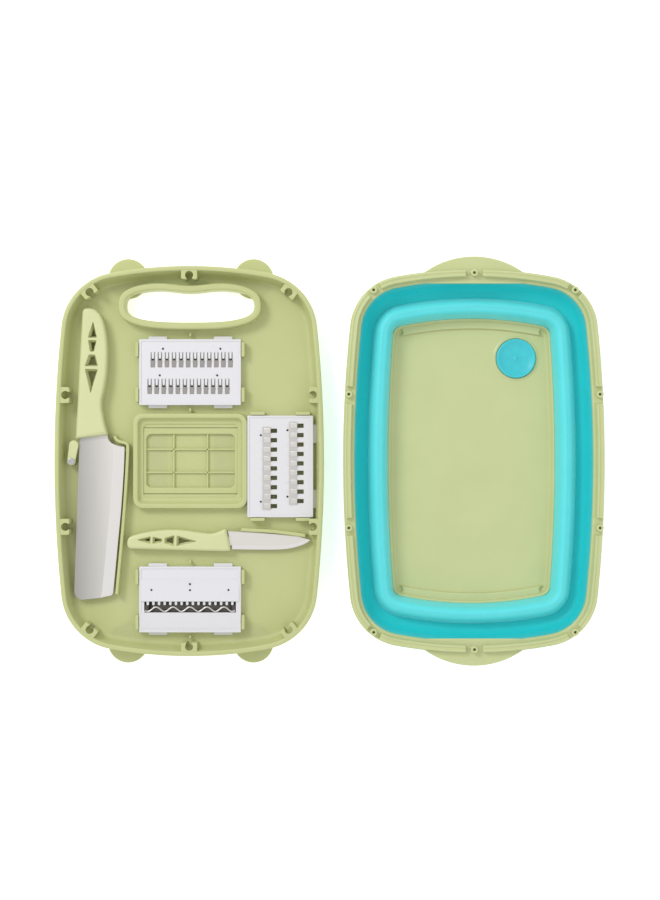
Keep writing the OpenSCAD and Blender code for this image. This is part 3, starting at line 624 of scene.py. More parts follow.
# %% [markdown]
# Now the wall, the grip's collar and the window's collar are carried round, and two caps close the floor's
# top and underside between them.

# %% Tray
def build_tray(mesh):
    section = softened(TRAY_SECTION, 5)
    inside = next(i for i, p in enumerate(section) if p.y > BOARD_H / 2)
    wall = skin(mesh, [tray_loop(inset, z) if i > inside else lifted(bowed(BOARD, inset), z)
                       for i, (inset, z) in enumerate(section)])
    grip = skin(mesh, [lifted(grip_outline(grow), z) for grow, z in softened(GRIP_SECTION, 5)])
    steps = window_steps()
    window = skin(mesh, [lifted(rectangle(x, y, r, 8), z) for x, y, r, z in steps])
    cap(mesh, [wall[-1], grip[0], window[0]])
    cap(mesh, [wall[0], grip[-1], window[-1]])


tray = bmesh.new()
build_tray(tray)
print("tray's skin:", len(tray.faces), "faces")

# %% [markdown]
# ### Snap sockets
# Ten hooks inside the wall take the basin's ten posts. Each is a block with a round hole that is open towards
# the inside of the board, so that its two arms can spring apart. One outline is drawn and placed ten times.

# %% Sockets
def socket_outline():
    """A hook: a block whose hole is open towards the inside of the board."""
    hole, reach, half = 3.95, 3.9, 7.9
    gap = acos(3.2 / hole)
    flare = hole * sin(gap) + 0.8
    loop = [Vector((5.6, -half)), Vector((5.6, half))]
    loop += arc((-reach + 1.6, half - 1.6), 1.6, pi / 2, pi, 4)
    loop += [Vector((-reach, half - 1.6)), Vector((-reach, flare))]
    loop += arc((0, 0), hole, pi - gap, -pi + gap, 22) + [Vector((-reach, -flare))]
    loop += arc((-reach + 1.6, -half + 1.6), 1.6, pi, 1.5 * pi, 4)
    return loop


def build_sockets(mesh):
    for x, y, angle in POSTS:
        place = Matrix.Translation((x, y, 0)) @ Matrix.Rotation(angle, 4, "Z")
        plate(mesh, socket_outline(), FLOOR - 0.6, BOARD_H - 0.35, 0.45, at=place)


build_sockets(tray)
print("sockets:", len(POSTS))

# %% [markdown]
# ### Holders and ribs
# Four low hooks hold each stored cartridge by its ends, and thin upright ribs follow the cleaver's edge and
# the paring knife's back. They are all the same idea: a short outline, raised from the floor.

# %% Holders and ribs
# Where each cartridge is stored: x, y, quarter turn and which long sides have a locating rib
FINE_AT = (0.0, 88.1, 0.0, (-1, 1))
COARSE_AT = (89.55, -5.5, pi / 2, (-1,))
WAVY_AT = (0.0, -137.6, 0.0, (-1, 1))
REST = FLOOR + 0.2


def stored(place, height=0.0):
    return Matrix.Translation((place[0], place[1], height)) @ Matrix.Rotation(place[2], 4, "Z")


def build_holders(mesh):
    for place in (FINE_AT, COARSE_AT, WAVY_AT):
        for sx in (-1, 1):
            for sy in (-1, 1):
                hook = rectangle(1.6, 7.25, 0.9, 3, (sx * (CART[0] / 2 + 2.1), sy * 22.5))
                plate(mesh, hook, FLOOR - 0.3, FLOOR + CART[2] + 1, 0.5, at=stored(place))
        for sy in place[3]:
            rib = rectangle(1.0, 1.6, 0.6, 3, (0, sy * (CART[1] / 2 + 4.7)))
            plate(mesh, rib, FLOOR - 0.3, FLOOR + 6.5, 0.4, at=stored(place))


CLEAVER_AT = (-113.0, 21.9, radians(-2))
PARING_AT = (-62.4, -87.2, radians(-1.5))


# %% [markdown]
# A rib is a ribbon: a line on the floor that is given a thickness and round ends.

# %% Ribs
def ribbon(line, thick):
    """A thin upright wall's outline: the line moved to both sides, with its ends rounded."""
    left, right = [], []
    for i, here in enumerate(line):
        along = (line[min(i + 1, len(line) - 1)] - line[max(i - 1, 0)]).normalized()
        side = Vector((-along.y, along.x)) * thick / 2
        left.append(here + side)
        right.append(here - side)
    first = atan2(*(right[0] - line[0]).yx)
    last = atan2(*(left[-1] - line[-1]).yx)
    far_end = arc(line[-1], thick / 2, last + pi, last, 6)[1:]
    near_end = arc(line[0], thick / 2, first + pi, first, 6)[1:]
    return right + far_end + list(reversed(left)) + near_end


def build_ribs(mesh):
    guard = smooth_loop([(37.5, 5), (40, 0.8), (44, -1.4), (49.6, -2.9), (51.6, -7), (51.4, -30),
                         (50.6, -60), (48.8, -99), (47, -130), (45.6, -154)], 4, closed=False)
    plate(mesh, ribbon(guard, 2.8), FLOOR - 0.3, FLOOR + 11, 0.6, at=stored(CLEAVER_AT))
    rest = smooth_loop([(111, 22.0), (145, 20.9), (178, 17.6)], 8, closed=False)
    plate(mesh, ribbon(rest, 3.4), FLOOR - 0.3, FLOOR + 9.5, 0.6, at=stored(PARING_AT))


build_holders(tray)
build_ribs(tray)
print("tray with holders:", len(tray.faces), "faces")

# %% [markdown]
# ### Lift tabs and latch boss
# A finger gets under the lid at four round tabs that stand out below the wall, and the latch turns on a
# small boss. With these the tray is complete, so it is moved to its place and given its finish.

# %% Lift tabs and boss
LIFT_TAB = (62.5, 181.5, 20.0)
LATCH_AT = (-117.7, -0.5)
LATCH_BOSS = 12.4

for sx in (-1, 1):
    for sy in (-1, 1):
        plate(tray, circle((sx * LIFT_TAB[0], sy * LIFT_TAB[1]), LIFT_TAB[2], 64), 0.4, FLOOR - 0.1, 0.9)
boss = [(4.6, FLOOR - 0.3), (4.2, FLOOR + 1), (4.2, LATCH_BOSS - 0.5), (3.7, LATCH_BOSS), (1.7, LATCH_BOSS),
        (1.6, FLOOR + 2), (0.0, FLOOR + 2), (0.0, FLOOR - 0.3)]
turned(tray, boss, LATCH_AT)
bmesh.ops.transform(tray, matrix=AT_BOARD, verts=tray.verts)
finish_piece("tray", tray, [board_pp], "board", ["board_tray"])

# %% [markdown]
# ## The latch
# A short lever turns on a steel screw and swings over the cleaver. Its outline is two circles and the
# straight sides between them. The screw is turned, and its head ends in a plate with a cross-shaped hole. A
# recess made as a hole in a plate keeps clean edges, where a boolean cut would leave long thin faces.

# %% Latch
LATCH_LENGTH = 16.4
LATCH_T = 3.0
LATCH_TURN = radians(-9.5)


def lever_outline():
    small, large = 4.0, 4.7
    lean = asin((large - small) / LATCH_LENGTH)
    loop = arc((0, 0), small, pi - lean, 2 * pi + lean, 20)
    loop += arc((0, LATCH_LENGTH), large, lean, pi - lean, 20)
    return loop


lever = bmesh.new()
latch_turn = Matrix.Translation((BOARD_X + LATCH_AT[0], LATCH_AT[1], LATCH_BOSS + 0.2)) \
    @ Matrix.Rotation(LATCH_TURN, 4, "Z")
pivot_hole = circle((0, 0), 1.6, 24)
plate(lever, lever_outline(), 0.0, LATCH_T, 0.8, holes=[pivot_hole], hole_soft=0.15, at=latch_turn)
finish_piece("latch_lever_moulding", lever, [handle_pp], "latch", ["latch_lever"])

screw = bmesh.new()
head = LATCH_BOSS + LATCH_T + 0.4
screw_at = Matrix.Translation((BOARD_X + LATCH_AT[0], LATCH_AT[1], 0)) @ Matrix.Rotation(radians(20), 4, "Z")
shank = [(0, 6.2), (1.5, 6.2), (1.5, head), (3.3, head), (3.5, head + 0.3), (3.5, head + 0.6),
         (0, head + 0.6)]
turned(screw, shank, (0, 0), 32, screw_at)
cross = []
for quarter in range(4):
    for x, y in ((2.2, -0.45), (2.2, 0.45), (0.45, 0.45)):
        cross.append(Matrix.Rotation(quarter * pi / 2, 2) @ Vector((x, y)))
rim_of_head = circle((0, 0), 3.5, 32)
plate(screw, rim_of_head, head + 0.5, head + 1.6, 0.55, holes=[cross], hole_soft=0.12, at=screw_at)
finish_piece("latch_screw_turned", screw, [turned_steel], "board", ["latch_screw"])

# %% [markdown]
# ## The window insert
# When no cartridge is fitted, a plain insert closes the window. Its inner side is a shallow pan with a
# three by three grid of ribs that stiffen it. The pan's rim is a plate with one hole, the pan's floor is a
# second plate, and the ribs stand on it.

# %% Insert
INSERT_H = 6.0
insert = bmesh.new()
pan = rectangle(CART[0] / 2 - 6.5, CART[1] / 2 - 6, 5, 6)
plate(insert, rectangle(CART[0] / 2, CART[1] / 2, 2.5, 5), 0.0, INSERT_H, 0.5, holes=[pan], hole_soft=0.7)
plate(insert, rectangle(CART[0] / 2 - 5, CART[1] / 2 - 5, 3, 4), 0.05, 2.2, 0.2)
for x in (-16.8, 16.8):
    plate(insert, rectangle(0.8, CART[1] / 2 - 5.5, 0.4, 2, (x, 0)), 1.8, INSERT_H - 1.2, 0.3)
for y in (-11.5, 11.5):
    plate(insert, rectangle(CART[0] / 2 - 6, 0.8, 0.4, 2, (0, y)), 1.8, INSERT_H - 1.2, 0.3)
for sx in (-1, 1):
    plate(insert, rectangle(9.3, CART[1] / 2 + 2.4, 0.6, 3, (sx * 32.5, 0)), 1.6, 2.1, 0.2)
    for sy in (-1, 1):
        plate(insert, rectangle(9.3, 1.7, 0.6, 3, (sx * 32.5, sy * (CART[1] / 2 + 0.8))), 1.6, 3.2, 0.4)
bmesh.ops.transform(insert, matrix=AT_BOARD, verts=insert.verts)
finish_piece("window_insert_moulding", insert, [board_pp], "window_insert", ["window_insert"])

# %% [markdown]
# ## The cartridges
# Each cartridge is a white shell with a raised border, a working face just inside it and four snap tabs.
# The three share that shell and differ in what is cut from the face. The face is a plate with one hole for
# each opening, so every slot has a rounded edge of its own.

# %% Cartridge shell
BORDER = 2.2
FACE = CART[2] - 0.6
WALL = 2.0
TAB = (9.3, 3.0)


def cartridge_shell(mesh, at, openings, sides=(-1, 1)):
    outer = rectangle(CART[0] / 2, CART[1] / 2, 1.2, 4)
    inner = rectangle(CART[0] / 2 - BORDER, CART[1] / 2 - BORDER, 0.8, 4)
    plate(mesh, outer, 0.0, CART[2], 0.45, holes=[inner], hole_soft=0.35, at=at)
    plate(mesh, rectangle(CART[0] / 2 - 1, CART[1] / 2 - 1, 0.8, 4), FACE - WALL, FACE, 0.3, holes=openings,
          hole_soft=0.25, steps=2, at=at)
    for sx in (-1, 1):
        for sy in sides:
            middle = (sx * 32.5, sy * (CART[1] / 2 + TAB[1] / 2 - 0.6))
            tab = rectangle(TAB[0], TAB[1] / 2 + 0.6, 0.8, 3, middle)
            plate(mesh, tab, 2.0, 4.0, 0.5, at=at)


def rivets(name, body, at, places, raised=0.0):
    """Small pins whose heads stand just above the face, or above a ramp that is raised over it."""
    pins = bmesh.new()
    at = at @ Matrix.Translation((0, 0, raised))
    for x, y in places:
        profile = [(0, -WALL), (0.86, -WALL), (0.86, 0.1), (1.05, 0.15), (1.0, 0.4), (0.6, 0.55), (0, 0.58)]
        turned(pins, [(r, FACE + z) for r, z in profile], (x, y), 20, at)
    finish_piece(name + "_pins_turned", pins, [blackened_steel], body, [name + "_pins"])


# %% [markdown]
# ### Fine grater
# Two rows of twelve slots each hold a white tongue that guides the food and a stamped steel tooth. The tooth
# is a fork: its lifted plate cuts in front of the tongue, and two legs run back beside it.

# %% Fine grater
FINE_COUNT = 12
FINE_PITCH = 7.0
FINE_SLOT = (4.3, 15.0)
FINE_ROWS = ((1.6, 12.2), (-1.6, -14.2))


def row_places(rows, count, pitch):
    return [(x + (i - (count - 1) / 2) * pitch, y) for x, y in rows for i in range(count)]


fine_places = row_places(FINE_ROWS, FINE_COUNT, FINE_PITCH)
fine_at = AT_BOARD @ stored(FINE_AT, REST)
fine = bmesh.new()
slots = [rectangle(FINE_SLOT[0] / 2, FINE_SLOT[1] / 2, 0.3, 2, place) for place in fine_places]
cartridge_shell(fine, fine_at, slots)
tongue = arc((0, 2.0), 1.1, -pi, 0, 8) + [Vector((1.1, 2.0)), Vector((1.3, 8.2)), Vector((-1.3, 8.2))]
for x, y in fine_places:
    plate(fine, [p + Vector((x, y)) for p in tongue], FACE - WALL, FACE - 0.1, 0.3, steps=2, at=fine_at)
finish_piece("fine_grater_moulding", fine, [cartridge_abs], "fine_grater", ["fine_frame"])

fine_steel = bmesh.new()
for x, y in fine_places:
    tooth = fine_at @ Matrix.Translation((x, y, FACE))
    for sx in (-1, 1):
        plate(fine_steel, rectangle(0.3, 4.0, 0.1, 1, (sx * 1.7, 3.4)), -0.9, -0.3, 0.08, steps=1, at=tooth)
    lifted_plate = tooth @ Matrix.Translation((0, -7.2, -0.75)) @ Matrix.Rotation(radians(10), 4, "X")
    plate(fine_steel, rectangle(2.0, 3.4, 0.4, 3, (0, 3.4)), 0.0, 0.6, 0.12, steps=2, at=lifted_plate)
for x, y in FINE_ROWS:
    strip = rectangle(42, 1.8, 0.3, 2, (x, y - 8.0))
    plate(fine_steel, strip, FACE - WALL - 0.7, FACE - WALL - 0.1, 0.1, steps=1, at=fine_at)
finish_piece("fine_grater_teeth", fine_steel, [sheet_steel], "fine_grater", ["fine_blades"])
rivets("fine", "fine_grater", fine_at, [(x + sx * 28.5, y + 11) for x, y in FINE_ROWS for sx in (-1, 1)])

# %% [markdown]
# ### Coarse grater
# Nine openings in each of two rows, and beside each opening a small steel bridge that lifts a shred off the
# food. The nine bridges of a row are one stamped comb, so they share one strip let into the face.

# %% Coarse grater
COARSE_COUNT = 9
COARSE_PITCH = 9.35
COARSE_HOLE = (4.2, 6.3)
COARSE_ROWS = ((-2.0, 9.5), (3.0, -16.9))
STRIP = 8.4

coarse_places = row_places(COARSE_ROWS, COARSE_COUNT, COARSE_PITCH)
coarse_at = AT_BOARD @ stored(COARSE_AT, REST)
coarse = bmesh.new()
openings = [rectangle(COARSE_HOLE[0] / 2, COARSE_HOLE[1] / 2, 0.4, 2, (x, y - COARSE_HOLE[1] / 2))
            for x, y in coarse_places]
cartridge_shell(coarse, coarse_at, openings, (-1,))
for x, y in coarse_places:
    ramp = [Vector((-1.5, STRIP - 0.6)), Vector((-1.5, STRIP + 2.4)), Vector((1.5, STRIP + 2.4)),
            Vector((1.5, STRIP - 0.6))]
    plate(coarse, list(reversed([p + Vector((x, y)) for p in ramp])), FACE - 0.2, FACE + 0.25, 0.15, steps=2,
          at=coarse_at)
finish_piece("coarse_grater_moulding", coarse, [cartridge_abs], "coarse_grater",
             ["coarse_frame"])

coarse_steel = bmesh.new()
for row_x, row_y in COARSE_ROWS:
    middle = row_y + STRIP / 2
    windows = [rectangle(1.3, (STRIP - 2.8) / 2, 0.2, 2, (row_x + (i - 4) * COARSE_PITCH, middle + 0.2))
               for i in range(COARSE_COUNT)]
    strip = rectangle(41.4, STRIP / 2 - 0.1, 0.4, 2, (row_x, middle))
    plate(coarse_steel, strip, FACE - 0.1, FACE + 0.3, 0.1, holes=windows, hole_soft=0.1, steps=2,
          at=coarse_at)
for x, y in coarse_places:
    bridge = coarse_at @ Matrix.Translation((x, y + 0.1, FACE + 1.9)) @ Matrix.Rotation(radians(-12), 4, "X")
    plate(coarse_steel, rectangle(2.4, 3.5, 0.4, 2, (0, 3.5)), -0.6, 0.0, 0.15, steps=2, at=bridge)
finish_piece("coarse_grater_combs", coarse_steel, [comb_steel], "coarse_grater",
             ["coarse_blades"])
coarse_pin_places = [(x + sx * 33, y + STRIP + 1.4) for x, y in COARSE_ROWS for sx in (-1, 1)]
rivets("coarse", "coarse_grater", coarse_at, coarse_pin_places)

# %% [markdown]
# ### Crinkle slicer
# A ramp leads the food down to a long slot. A comb of rounded fingers lines the slot's upper side, and a
# waved blade stands across it. The blade is a ribbon that follows a cosine.

# %% Crinkle slicer
WAVE_PITCH = 16.8
WAVE = 2.2
SLOT = (45.5, 5.5, -7.4)
COMB_PITCH = 5.6

wavy_at = AT_BOARD @ stored(WAVY_AT, REST)
wavy = bmesh.new()
cartridge_shell(wavy, wavy_at, [rectangle(SLOT[0], SLOT[1], 0.4, 2, (0, SLOT[2]))])
slot_top = SLOT[2] + SLOT[1]
for i in range(16):
    finger = arc((0, -2.6), 1.25, -pi, 0, 8)
    finger += [Vector((1.25, -2.6)), Vector((1.25, 0.5)), Vector((-1.25, 0.5))]
    root = Vector(((i - 7.5) * COMB_PITCH, slot_top))
    plate(wavy, [p + root for p in finger], FACE - 1.5, FACE - 0.05, 0.35, steps=3, at=wavy_at)
# The ramp is a wedge, highest at the slot. Below the slot the face rises a little on the other side.
half_face = CART[0] / 2 - BORDER + 0.2
border_y = -CART[1] / 2 + BORDER - 0.2
slot_bottom = slot_top - 2 * SLOT[1]
upper_ramp = [(slot_top, -0.3), (slot_top, 1.1), (slot_top + 0.5, 1.4), (14.0, 0.95), (20.3, 0.35),
              (20.6, -0.3)]
lower_ramp = [(border_y, -0.3), (border_y, 0.02), (-27.6, 0.32), (-27.0, 0.4), (slot_bottom - 0.3, 0.4),
              (slot_bottom, 0.2), (slot_bottom, -0.3)]
for ramp in (upper_ramp, lower_ramp):
    start = len(wavy.verts)
    ends = skin(wavy, [[Vector((x, y, FACE + z)) for y, z in ramp] for x in (-half_face, half_face)])
    for end in ends:
        wavy.faces.new(end)
    wavy.verts.ensure_lookup_table()
    bmesh.ops.transform(wavy, matrix=wavy_at, verts=wavy.verts[start:])
finish_piece("crinkle_slicer_moulding", wavy, [cartridge_abs], "crinkle_slicer",
             ["wavy_frame"], 20)

# %% [markdown]
# The blade is one sheet pressed into waves. Its upright edge is the bright part that is seen in the slot. The
# rest of the sheet runs back under the face and is a second piece here, coloured dark grey as painted shade.

# %% Crinkle blade
crinkle = bmesh.new()
line = [Vector((x, SLOT[2] - 2.3 + WAVE * cos(2 * pi * x / WAVE_PITCH)))
        for x in [-SLOT[0] + 0.4 + (2 * SLOT[0] - 0.8) * i / 120 for i in range(121)]]
plate(crinkle, ribbon(line, 1.5), FACE - 1.2, FACE + 0.35, 0.5, at=wavy_at)
finish_piece("crinkle_slicer_edge", crinkle, [comb_steel], "crinkle_slicer", ["wavy_blade"])
crinkle = bmesh.new()
# The blade's corrugated sheet, which runs back under the face on both sides of the slot
SHEET_HALF = 44.8
SHEET_T = 0.6
sheet_x = [-SHEET_HALF + 2 * SHEET_HALF * i / 120 for i in range(121)]
waves = [(x, FACE - 4.4 + 0.9 * cos(2 * pi * x / WAVE_PITCH)) for x in sheet_x]
back, front = SLOT[2] - 7, SLOT[2] + 7
sheet_section = ((back, 0), (front, 0), (front, SHEET_T), (back, SHEET_T))
start = len(crinkle.verts)
sheet_ends = skin(crinkle, [[Vector((x, y, z + up)) for y, up in sheet_section] for x, z in waves])
crinkle.faces.new(list(reversed(sheet_ends[0])))
crinkle.faces.new(sheet_ends[-1])
bmesh.ops.transform(crinkle, matrix=wavy_at, verts=list(crinkle.verts)[start:])
for sx in (-1, 1):
    foot = rectangle(2.0, 3.6, 0.4, 2, (sx * (SLOT[0] - 2.3), SLOT[2] - 1.6))
    plate(crinkle, foot, FACE - 3, FACE - 1, 0.15, at=wavy_at)
# The sheet's dark grey colour is painted shade for the shadow under the face.
finish_piece("crinkle_slicer_blade", crinkle, [painted_shade_sheet_steel], "crinkle_slicer",
             ["wavy_blade"])
rivets("wavy", "crinkle_slicer", wavy_at, [(-38.2, 9.6), (38.2, 9.6), (0, 15.4), (0, 9.4)], 0.95)

# %% [markdown]
# ## The knives
# Each handle is a thick rounded plate with kite-shaped windows that narrow from both sides to a smaller
# opening through the middle, which saves plastic and gives grip. Each blade is flat sheet whose cutting edge
# is ground to a long bevel, so the bevel is its own band of faces with its own scratch direction.

# %% Handles
KITES = (((0, 31.5), (-4.6, 15.4), (4.6, 15.4)), ((-4.2, 13), (-2, 1.6), (2, 1.6), (4.2, 13)),
         ((-3, -1.2), (-6.6, -12.8), (6.6, -12.8), (3, -1.2)), ((-6.4, -15.6), (0, -39.6), (6.4, -15.6)))


def kite_windows(size, place, turn):
    """The four windows, each with its corners rounded, placed on a handle."""
    spin = Matrix.Rotation(turn, 2)
    windows = []
    for kite in KITES:
        corners = [Vector(p) * size for p in kite]
        loop = []
        for i, here in enumerate(corners):
            before, after = corners[i - 1] - here, corners[(i + 1) % len(corners)] - here
            reach = 1.3
            first, last = here + before.normalized() * reach, here + after.normalized() * reach
            loop += [first * (1 - t) ** 2 + here * 2 * t * (1 - t) + last * t * t for t in (0, 0.33, 0.67, 1)]
        windows.append([Vector(place) + spin @ p for p in loop])
    return windows


def knife_handle(name, body, node, outline, thick, windows, at, crown=3.0):
    handle = bmesh.new()
    plate(handle, outline, -thick / 2, thick / 2, crown, holes=windows, hole_soft=0.5, steps=6, at=at)
    for window in windows:
        start = len(handle.verts)
        slopes = ((-0.3, thick / 2 - 2.2), (1.7, 0.7), (1.7, -0.7), (-0.3, 2.2 - thick / 2))
        skin(handle, [lifted(moved_in(window, inset), z) for inset, z in slopes], closed_section=True)
        bmesh.ops.transform(handle, matrix=at, verts=list(handle.verts)[start:])
    finish_piece(name, handle, [handle_pp], body, [node], 40)


# %% [markdown]
# The cleaver's handle is straight along the blade's back and swells once for the palm. The paring knife's is
# smaller, with the same windows turned to run along it.

# %% Both handles
CLEAVER_T = 15.0
PARING_T = 12.0
cleaver_at = AT_BOARD @ stored(CLEAVER_AT, REST + CLEAVER_T / 2)
paring_at = AT_BOARD @ stored(PARING_AT, REST + PARING_T / 2)

palm = [(31.4, 5.2), (27, 20), (24.4, 36), (26.4, 50), (28.2, 64), (28.6, 82), (27.4, 99), (24.6, 113),
        (20.6, 123), (15, 128.6)]
cleaver_outline = [Vector((0.2, 0.2))] + smooth_loop(palm, 5, closed=False)
cleaver_outline += smooth_loop([(11, 129.8), (6, 129.6), (3.4, 128.2), (2.4, 125)], 3, closed=False)
cleaver_outline += [Vector((2.4 - 2.2 * i / 16, 125 - 125 * i / 16)) for i in range(1, 16)]
knife_handle("cleaver_handle_moulding", "cleaver", "cleaver_handle", cleaver_outline, CLEAVER_T,
             kite_windows(1.0, (13.6, 85), 0.0), cleaver_at)

back = [(94, 21.4), (88, 18.6), (81.4, 17.4), (70, 18.4), (51, 20.3), (34, 19.6), (17, 16.8), (5, 13.4)]
paring_outline = [Vector((p, 0.0)) for p in (4, 10, 18, 26, 34, 42, 50, 58, 66, 74, 82, 90, 97)]
paring_outline += smooth_loop([(102.6, 0.4), (102, 5), (100.4, 12), (98.2, 21.4)], 4, closed=False)
paring_outline += smooth_loop([(96.6, 22.4)] + back, 4, closed=False)
paring_outline += smooth_loop([(1.8, 11.6), (0.2, 8.5), (0.0, 4.0), (1.2, 1.0)], 4, closed=False)
knife_handle("paring_handle_moulding", "paring_knife", "paring_handle", paring_outline, PARING_T,
             kite_windows(0.83, (36.2, 9.3), pi / 2), paring_at)


# %% [markdown]
# ### Blades
# A knife blade is a flat sheet whose lower part is ground to an edge. It could be a box with a bevel, but the
# edge is curved, so it is drawn as two open lines, the edge and the line where the grinding starts. The faces
# between them are the bevel and take a brighter steel.

# %% Blade helper
def ground_blade(name, body, node, spine, edge, shoulder, thick, at, flat_steel):
    """A sheet blade between two open lines. shoulder is where the flat ends and the ground bevel starts."""
    blade = bmesh.new()
    levels = [(shoulder, thick / 2), (edge, 0.08), (edge, -0.08), (shoulder, -thick / 2)]
    rows = [[blade.verts.new((p.x, p.y, z)) for p in line] for line, z in levels]
    for high, low in zip(rows, rows[1:]):
        for i in range(len(high) - 1):
            face = blade.faces.new((high[i], high[i + 1], low[i + 1], low[i]))
            face.material_index = 1
    backs = [[blade.verts.new((p.x, p.y, z)) for p in spine] for z in (thick / 2, -thick / 2)]
    blade.faces.new(rows[0] + list(reversed(backs[0])))
    blade.faces.new(list(reversed(rows[3])) + backs[1])
    for i in range(len(spine) - 1):
        blade.faces.new((backs[0][i], backs[0][i + 1], backs[1][i + 1], backs[1][i]))
    for end in (0, -1):
        blade.faces.new([row[end] for row in rows] + [backs[1][end], backs[0][end]])
    bmesh.ops.triangulate(blade, faces=[f for f in blade.faces if len(f.verts) > 4])
    bmesh.ops.transform(blade, matrix=at, verts=blade.verts)
    finish_piece(name, blade, [flat_steel, ground_steel], body, [node], 3)


# %% [markdown]
# The cleaver's edge is a long shallow curve between a curved heel and a cut-off toe. Its bevel is wide and
# narrows to nothing at the heel.

# %% Cleaver blade
heel = smooth_loop([(31, 4.6), (33.6, -1.6), (38, -4.4), (43.3, -5.7), (47.8, -6.2)], 4, closed=False)
cutting = smooth_loop([(48.1, -8), (48.2, -25), (47.7, -45), (46.7, -72), (45, -99), (43.4, -127),
                       (41.9, -150)], 6, closed=False)
toe = arc((37.6, -150.6), 4.3, 0, radians(-78), 6) + [Vector((37.0, -154.9))]
cleaver_edge = heel + cutting + toe
BEVEL = 11.0
TOE_FALL = 4.6 / 25.8         # the toe's straight lower edge falls towards the spine
cleaver_shoulder = []
for point in cleaver_edge[:-len(toe)]:
    width = BEVEL if point.y < -6.5 else BEVEL * max(0.03, (point.x - 31) / 17)
    cleaver_shoulder.append(point - Vector((width, 0)))
for step, point in enumerate(toe):
    fall = (step + 1) / len(toe)
    start_x = cutting[-1].x - BEVEL
    cleaver_shoulder.append(Vector((start_x - 1.2 * fall, -150 - (4.9 + TOE_FALL * BEVEL) * fall)))
back_corner = arc((12.5, -150.5), 9.1, radians(-98), radians(-180), 8) + [Vector((3.4, -150.5))]
cleaver_spine = [Vector(p) for p in ((20.6, 4.6), (20.6, 38), (5.2, 38), (5.2, 0.9), (3.4, 0.9))]
cleaver_spine += list(reversed(back_corner))
CLEAVER_SHEET = 1.8
ground_blade("cleaver_blade_ground", "cleaver", "cleaver_blade", cleaver_spine, cleaver_edge,
             cleaver_shoulder, CLEAVER_SHEET, cleaver_at, cleaver_steel_painted_shade)

# %% [markdown]
# The paring blade's belly curves up to a point, and its bevel is narrow and runs out towards the tip.

# %% Paring blade
belly = smooth_loop([(103.8, 2.1), (128, 2.4), (152, 3.2), (166, 5.6), (176, 9.4), (181.6, 13.2)], 6,
                    closed=False)
belly_shoulder = [Vector((p.x - 2.2 * i / len(belly), p.y + 4.4 * (1 - (i / len(belly)) ** 4) * 0.9 + 0.15))
                  for i, p in enumerate(belly)]
paring_spine = [Vector(p) for p in ((102.4, 5.7), (64, 5.7), (64, 14.3), (100.6, 14.3), (99.2, 20),
                                    (128, 19.2), (150, 18), (170, 16.4), (181.4, 13.4))]
PARING_SHEET = 1.2
ground_blade("paring_blade_ground", "paring_knife", "paring_blade", paring_spine, belly,
             belly_shoulder, PARING_SHEET, paring_at, paring_steel)

# %% [markdown]
# ## The basin's rim
# The rim is a flat flange with two ridges and a groove between them. The ridges stop on both sides of each
# post, so that the socket's arms can pass. The flange is one carried cross-section; each ridge is a short
# one with rounded ends that runs from post to post.

# %% Rim
RIM_INSET = LIP + 0.6
RIM_H = 45.0
DECK = RIM_H - 6.0
RIM_FLOOR = DECK - 4.0
RIDGE_BAND = (1.5, 3.3, 5.6, 7.5)     # insets of the two ridges' edges
GROOVE = 0.7
RIM_IN = 11.2
GAP_HALF = 8.5

FLANGE_SECTION = [(RIM_IN, RIM_FLOOR, 0), (0.0, RIM_FLOOR, 1.4), (0.0, DECK, 1.2), (RIM_IN - 0.4, DECK, 1.4),
                  (RIM_IN, RIM_FLOOR, 0)]


class Track:
    """The rim's outline as positions and outward directions at any distance along it."""

    def __init__(self, shape, steps=60):
        loop, inner = bowed(shape, 0, steps), bowed(shape, 1, steps)
        self.points = loop + [loop[0]]
        self.outward = [(a - b).normalized() for a, b in zip(loop, inner)]
        self.outward.append(self.outward[0])
        self.reach = [0.0]
        for a, b in zip(self.points, self.points[1:]):
            self.reach.append(self.reach[-1] + (b - a).length)

    def at(self, distance, inset):
        distance %= self.reach[-1]
        i = next(k for k in range(len(self.reach) - 1) if distance <= self.reach[k + 1])
        share = (distance - self.reach[i]) / (self.reach[i + 1] - self.reach[i])
        point = self.points[i].lerp(self.points[i + 1], share)
        outward = self.outward[i].lerp(self.outward[i + 1], share).normalized()
        return point - outward * inset

    def nearest(self, place):
        inner = [p - n * POST_INSET for p, n in zip(self.points, self.outward)]
        return self.reach[min(range(len(inner)), key=lambda i: (inner[i] - place).length)]


track = Track(BOARD)
stops = sorted(track.nearest(Vector((x, y))) for x, y, _ in POSTS)
print("the rim's outline is", round(track.reach[-1]), "mm round")

# %% [markdown]
# ### Ridges
# Each ridge is carried along the track from one post to the next. Near its ends the section gets smaller
# along a quarter circle, which rounds the ends as a moulding tool would.

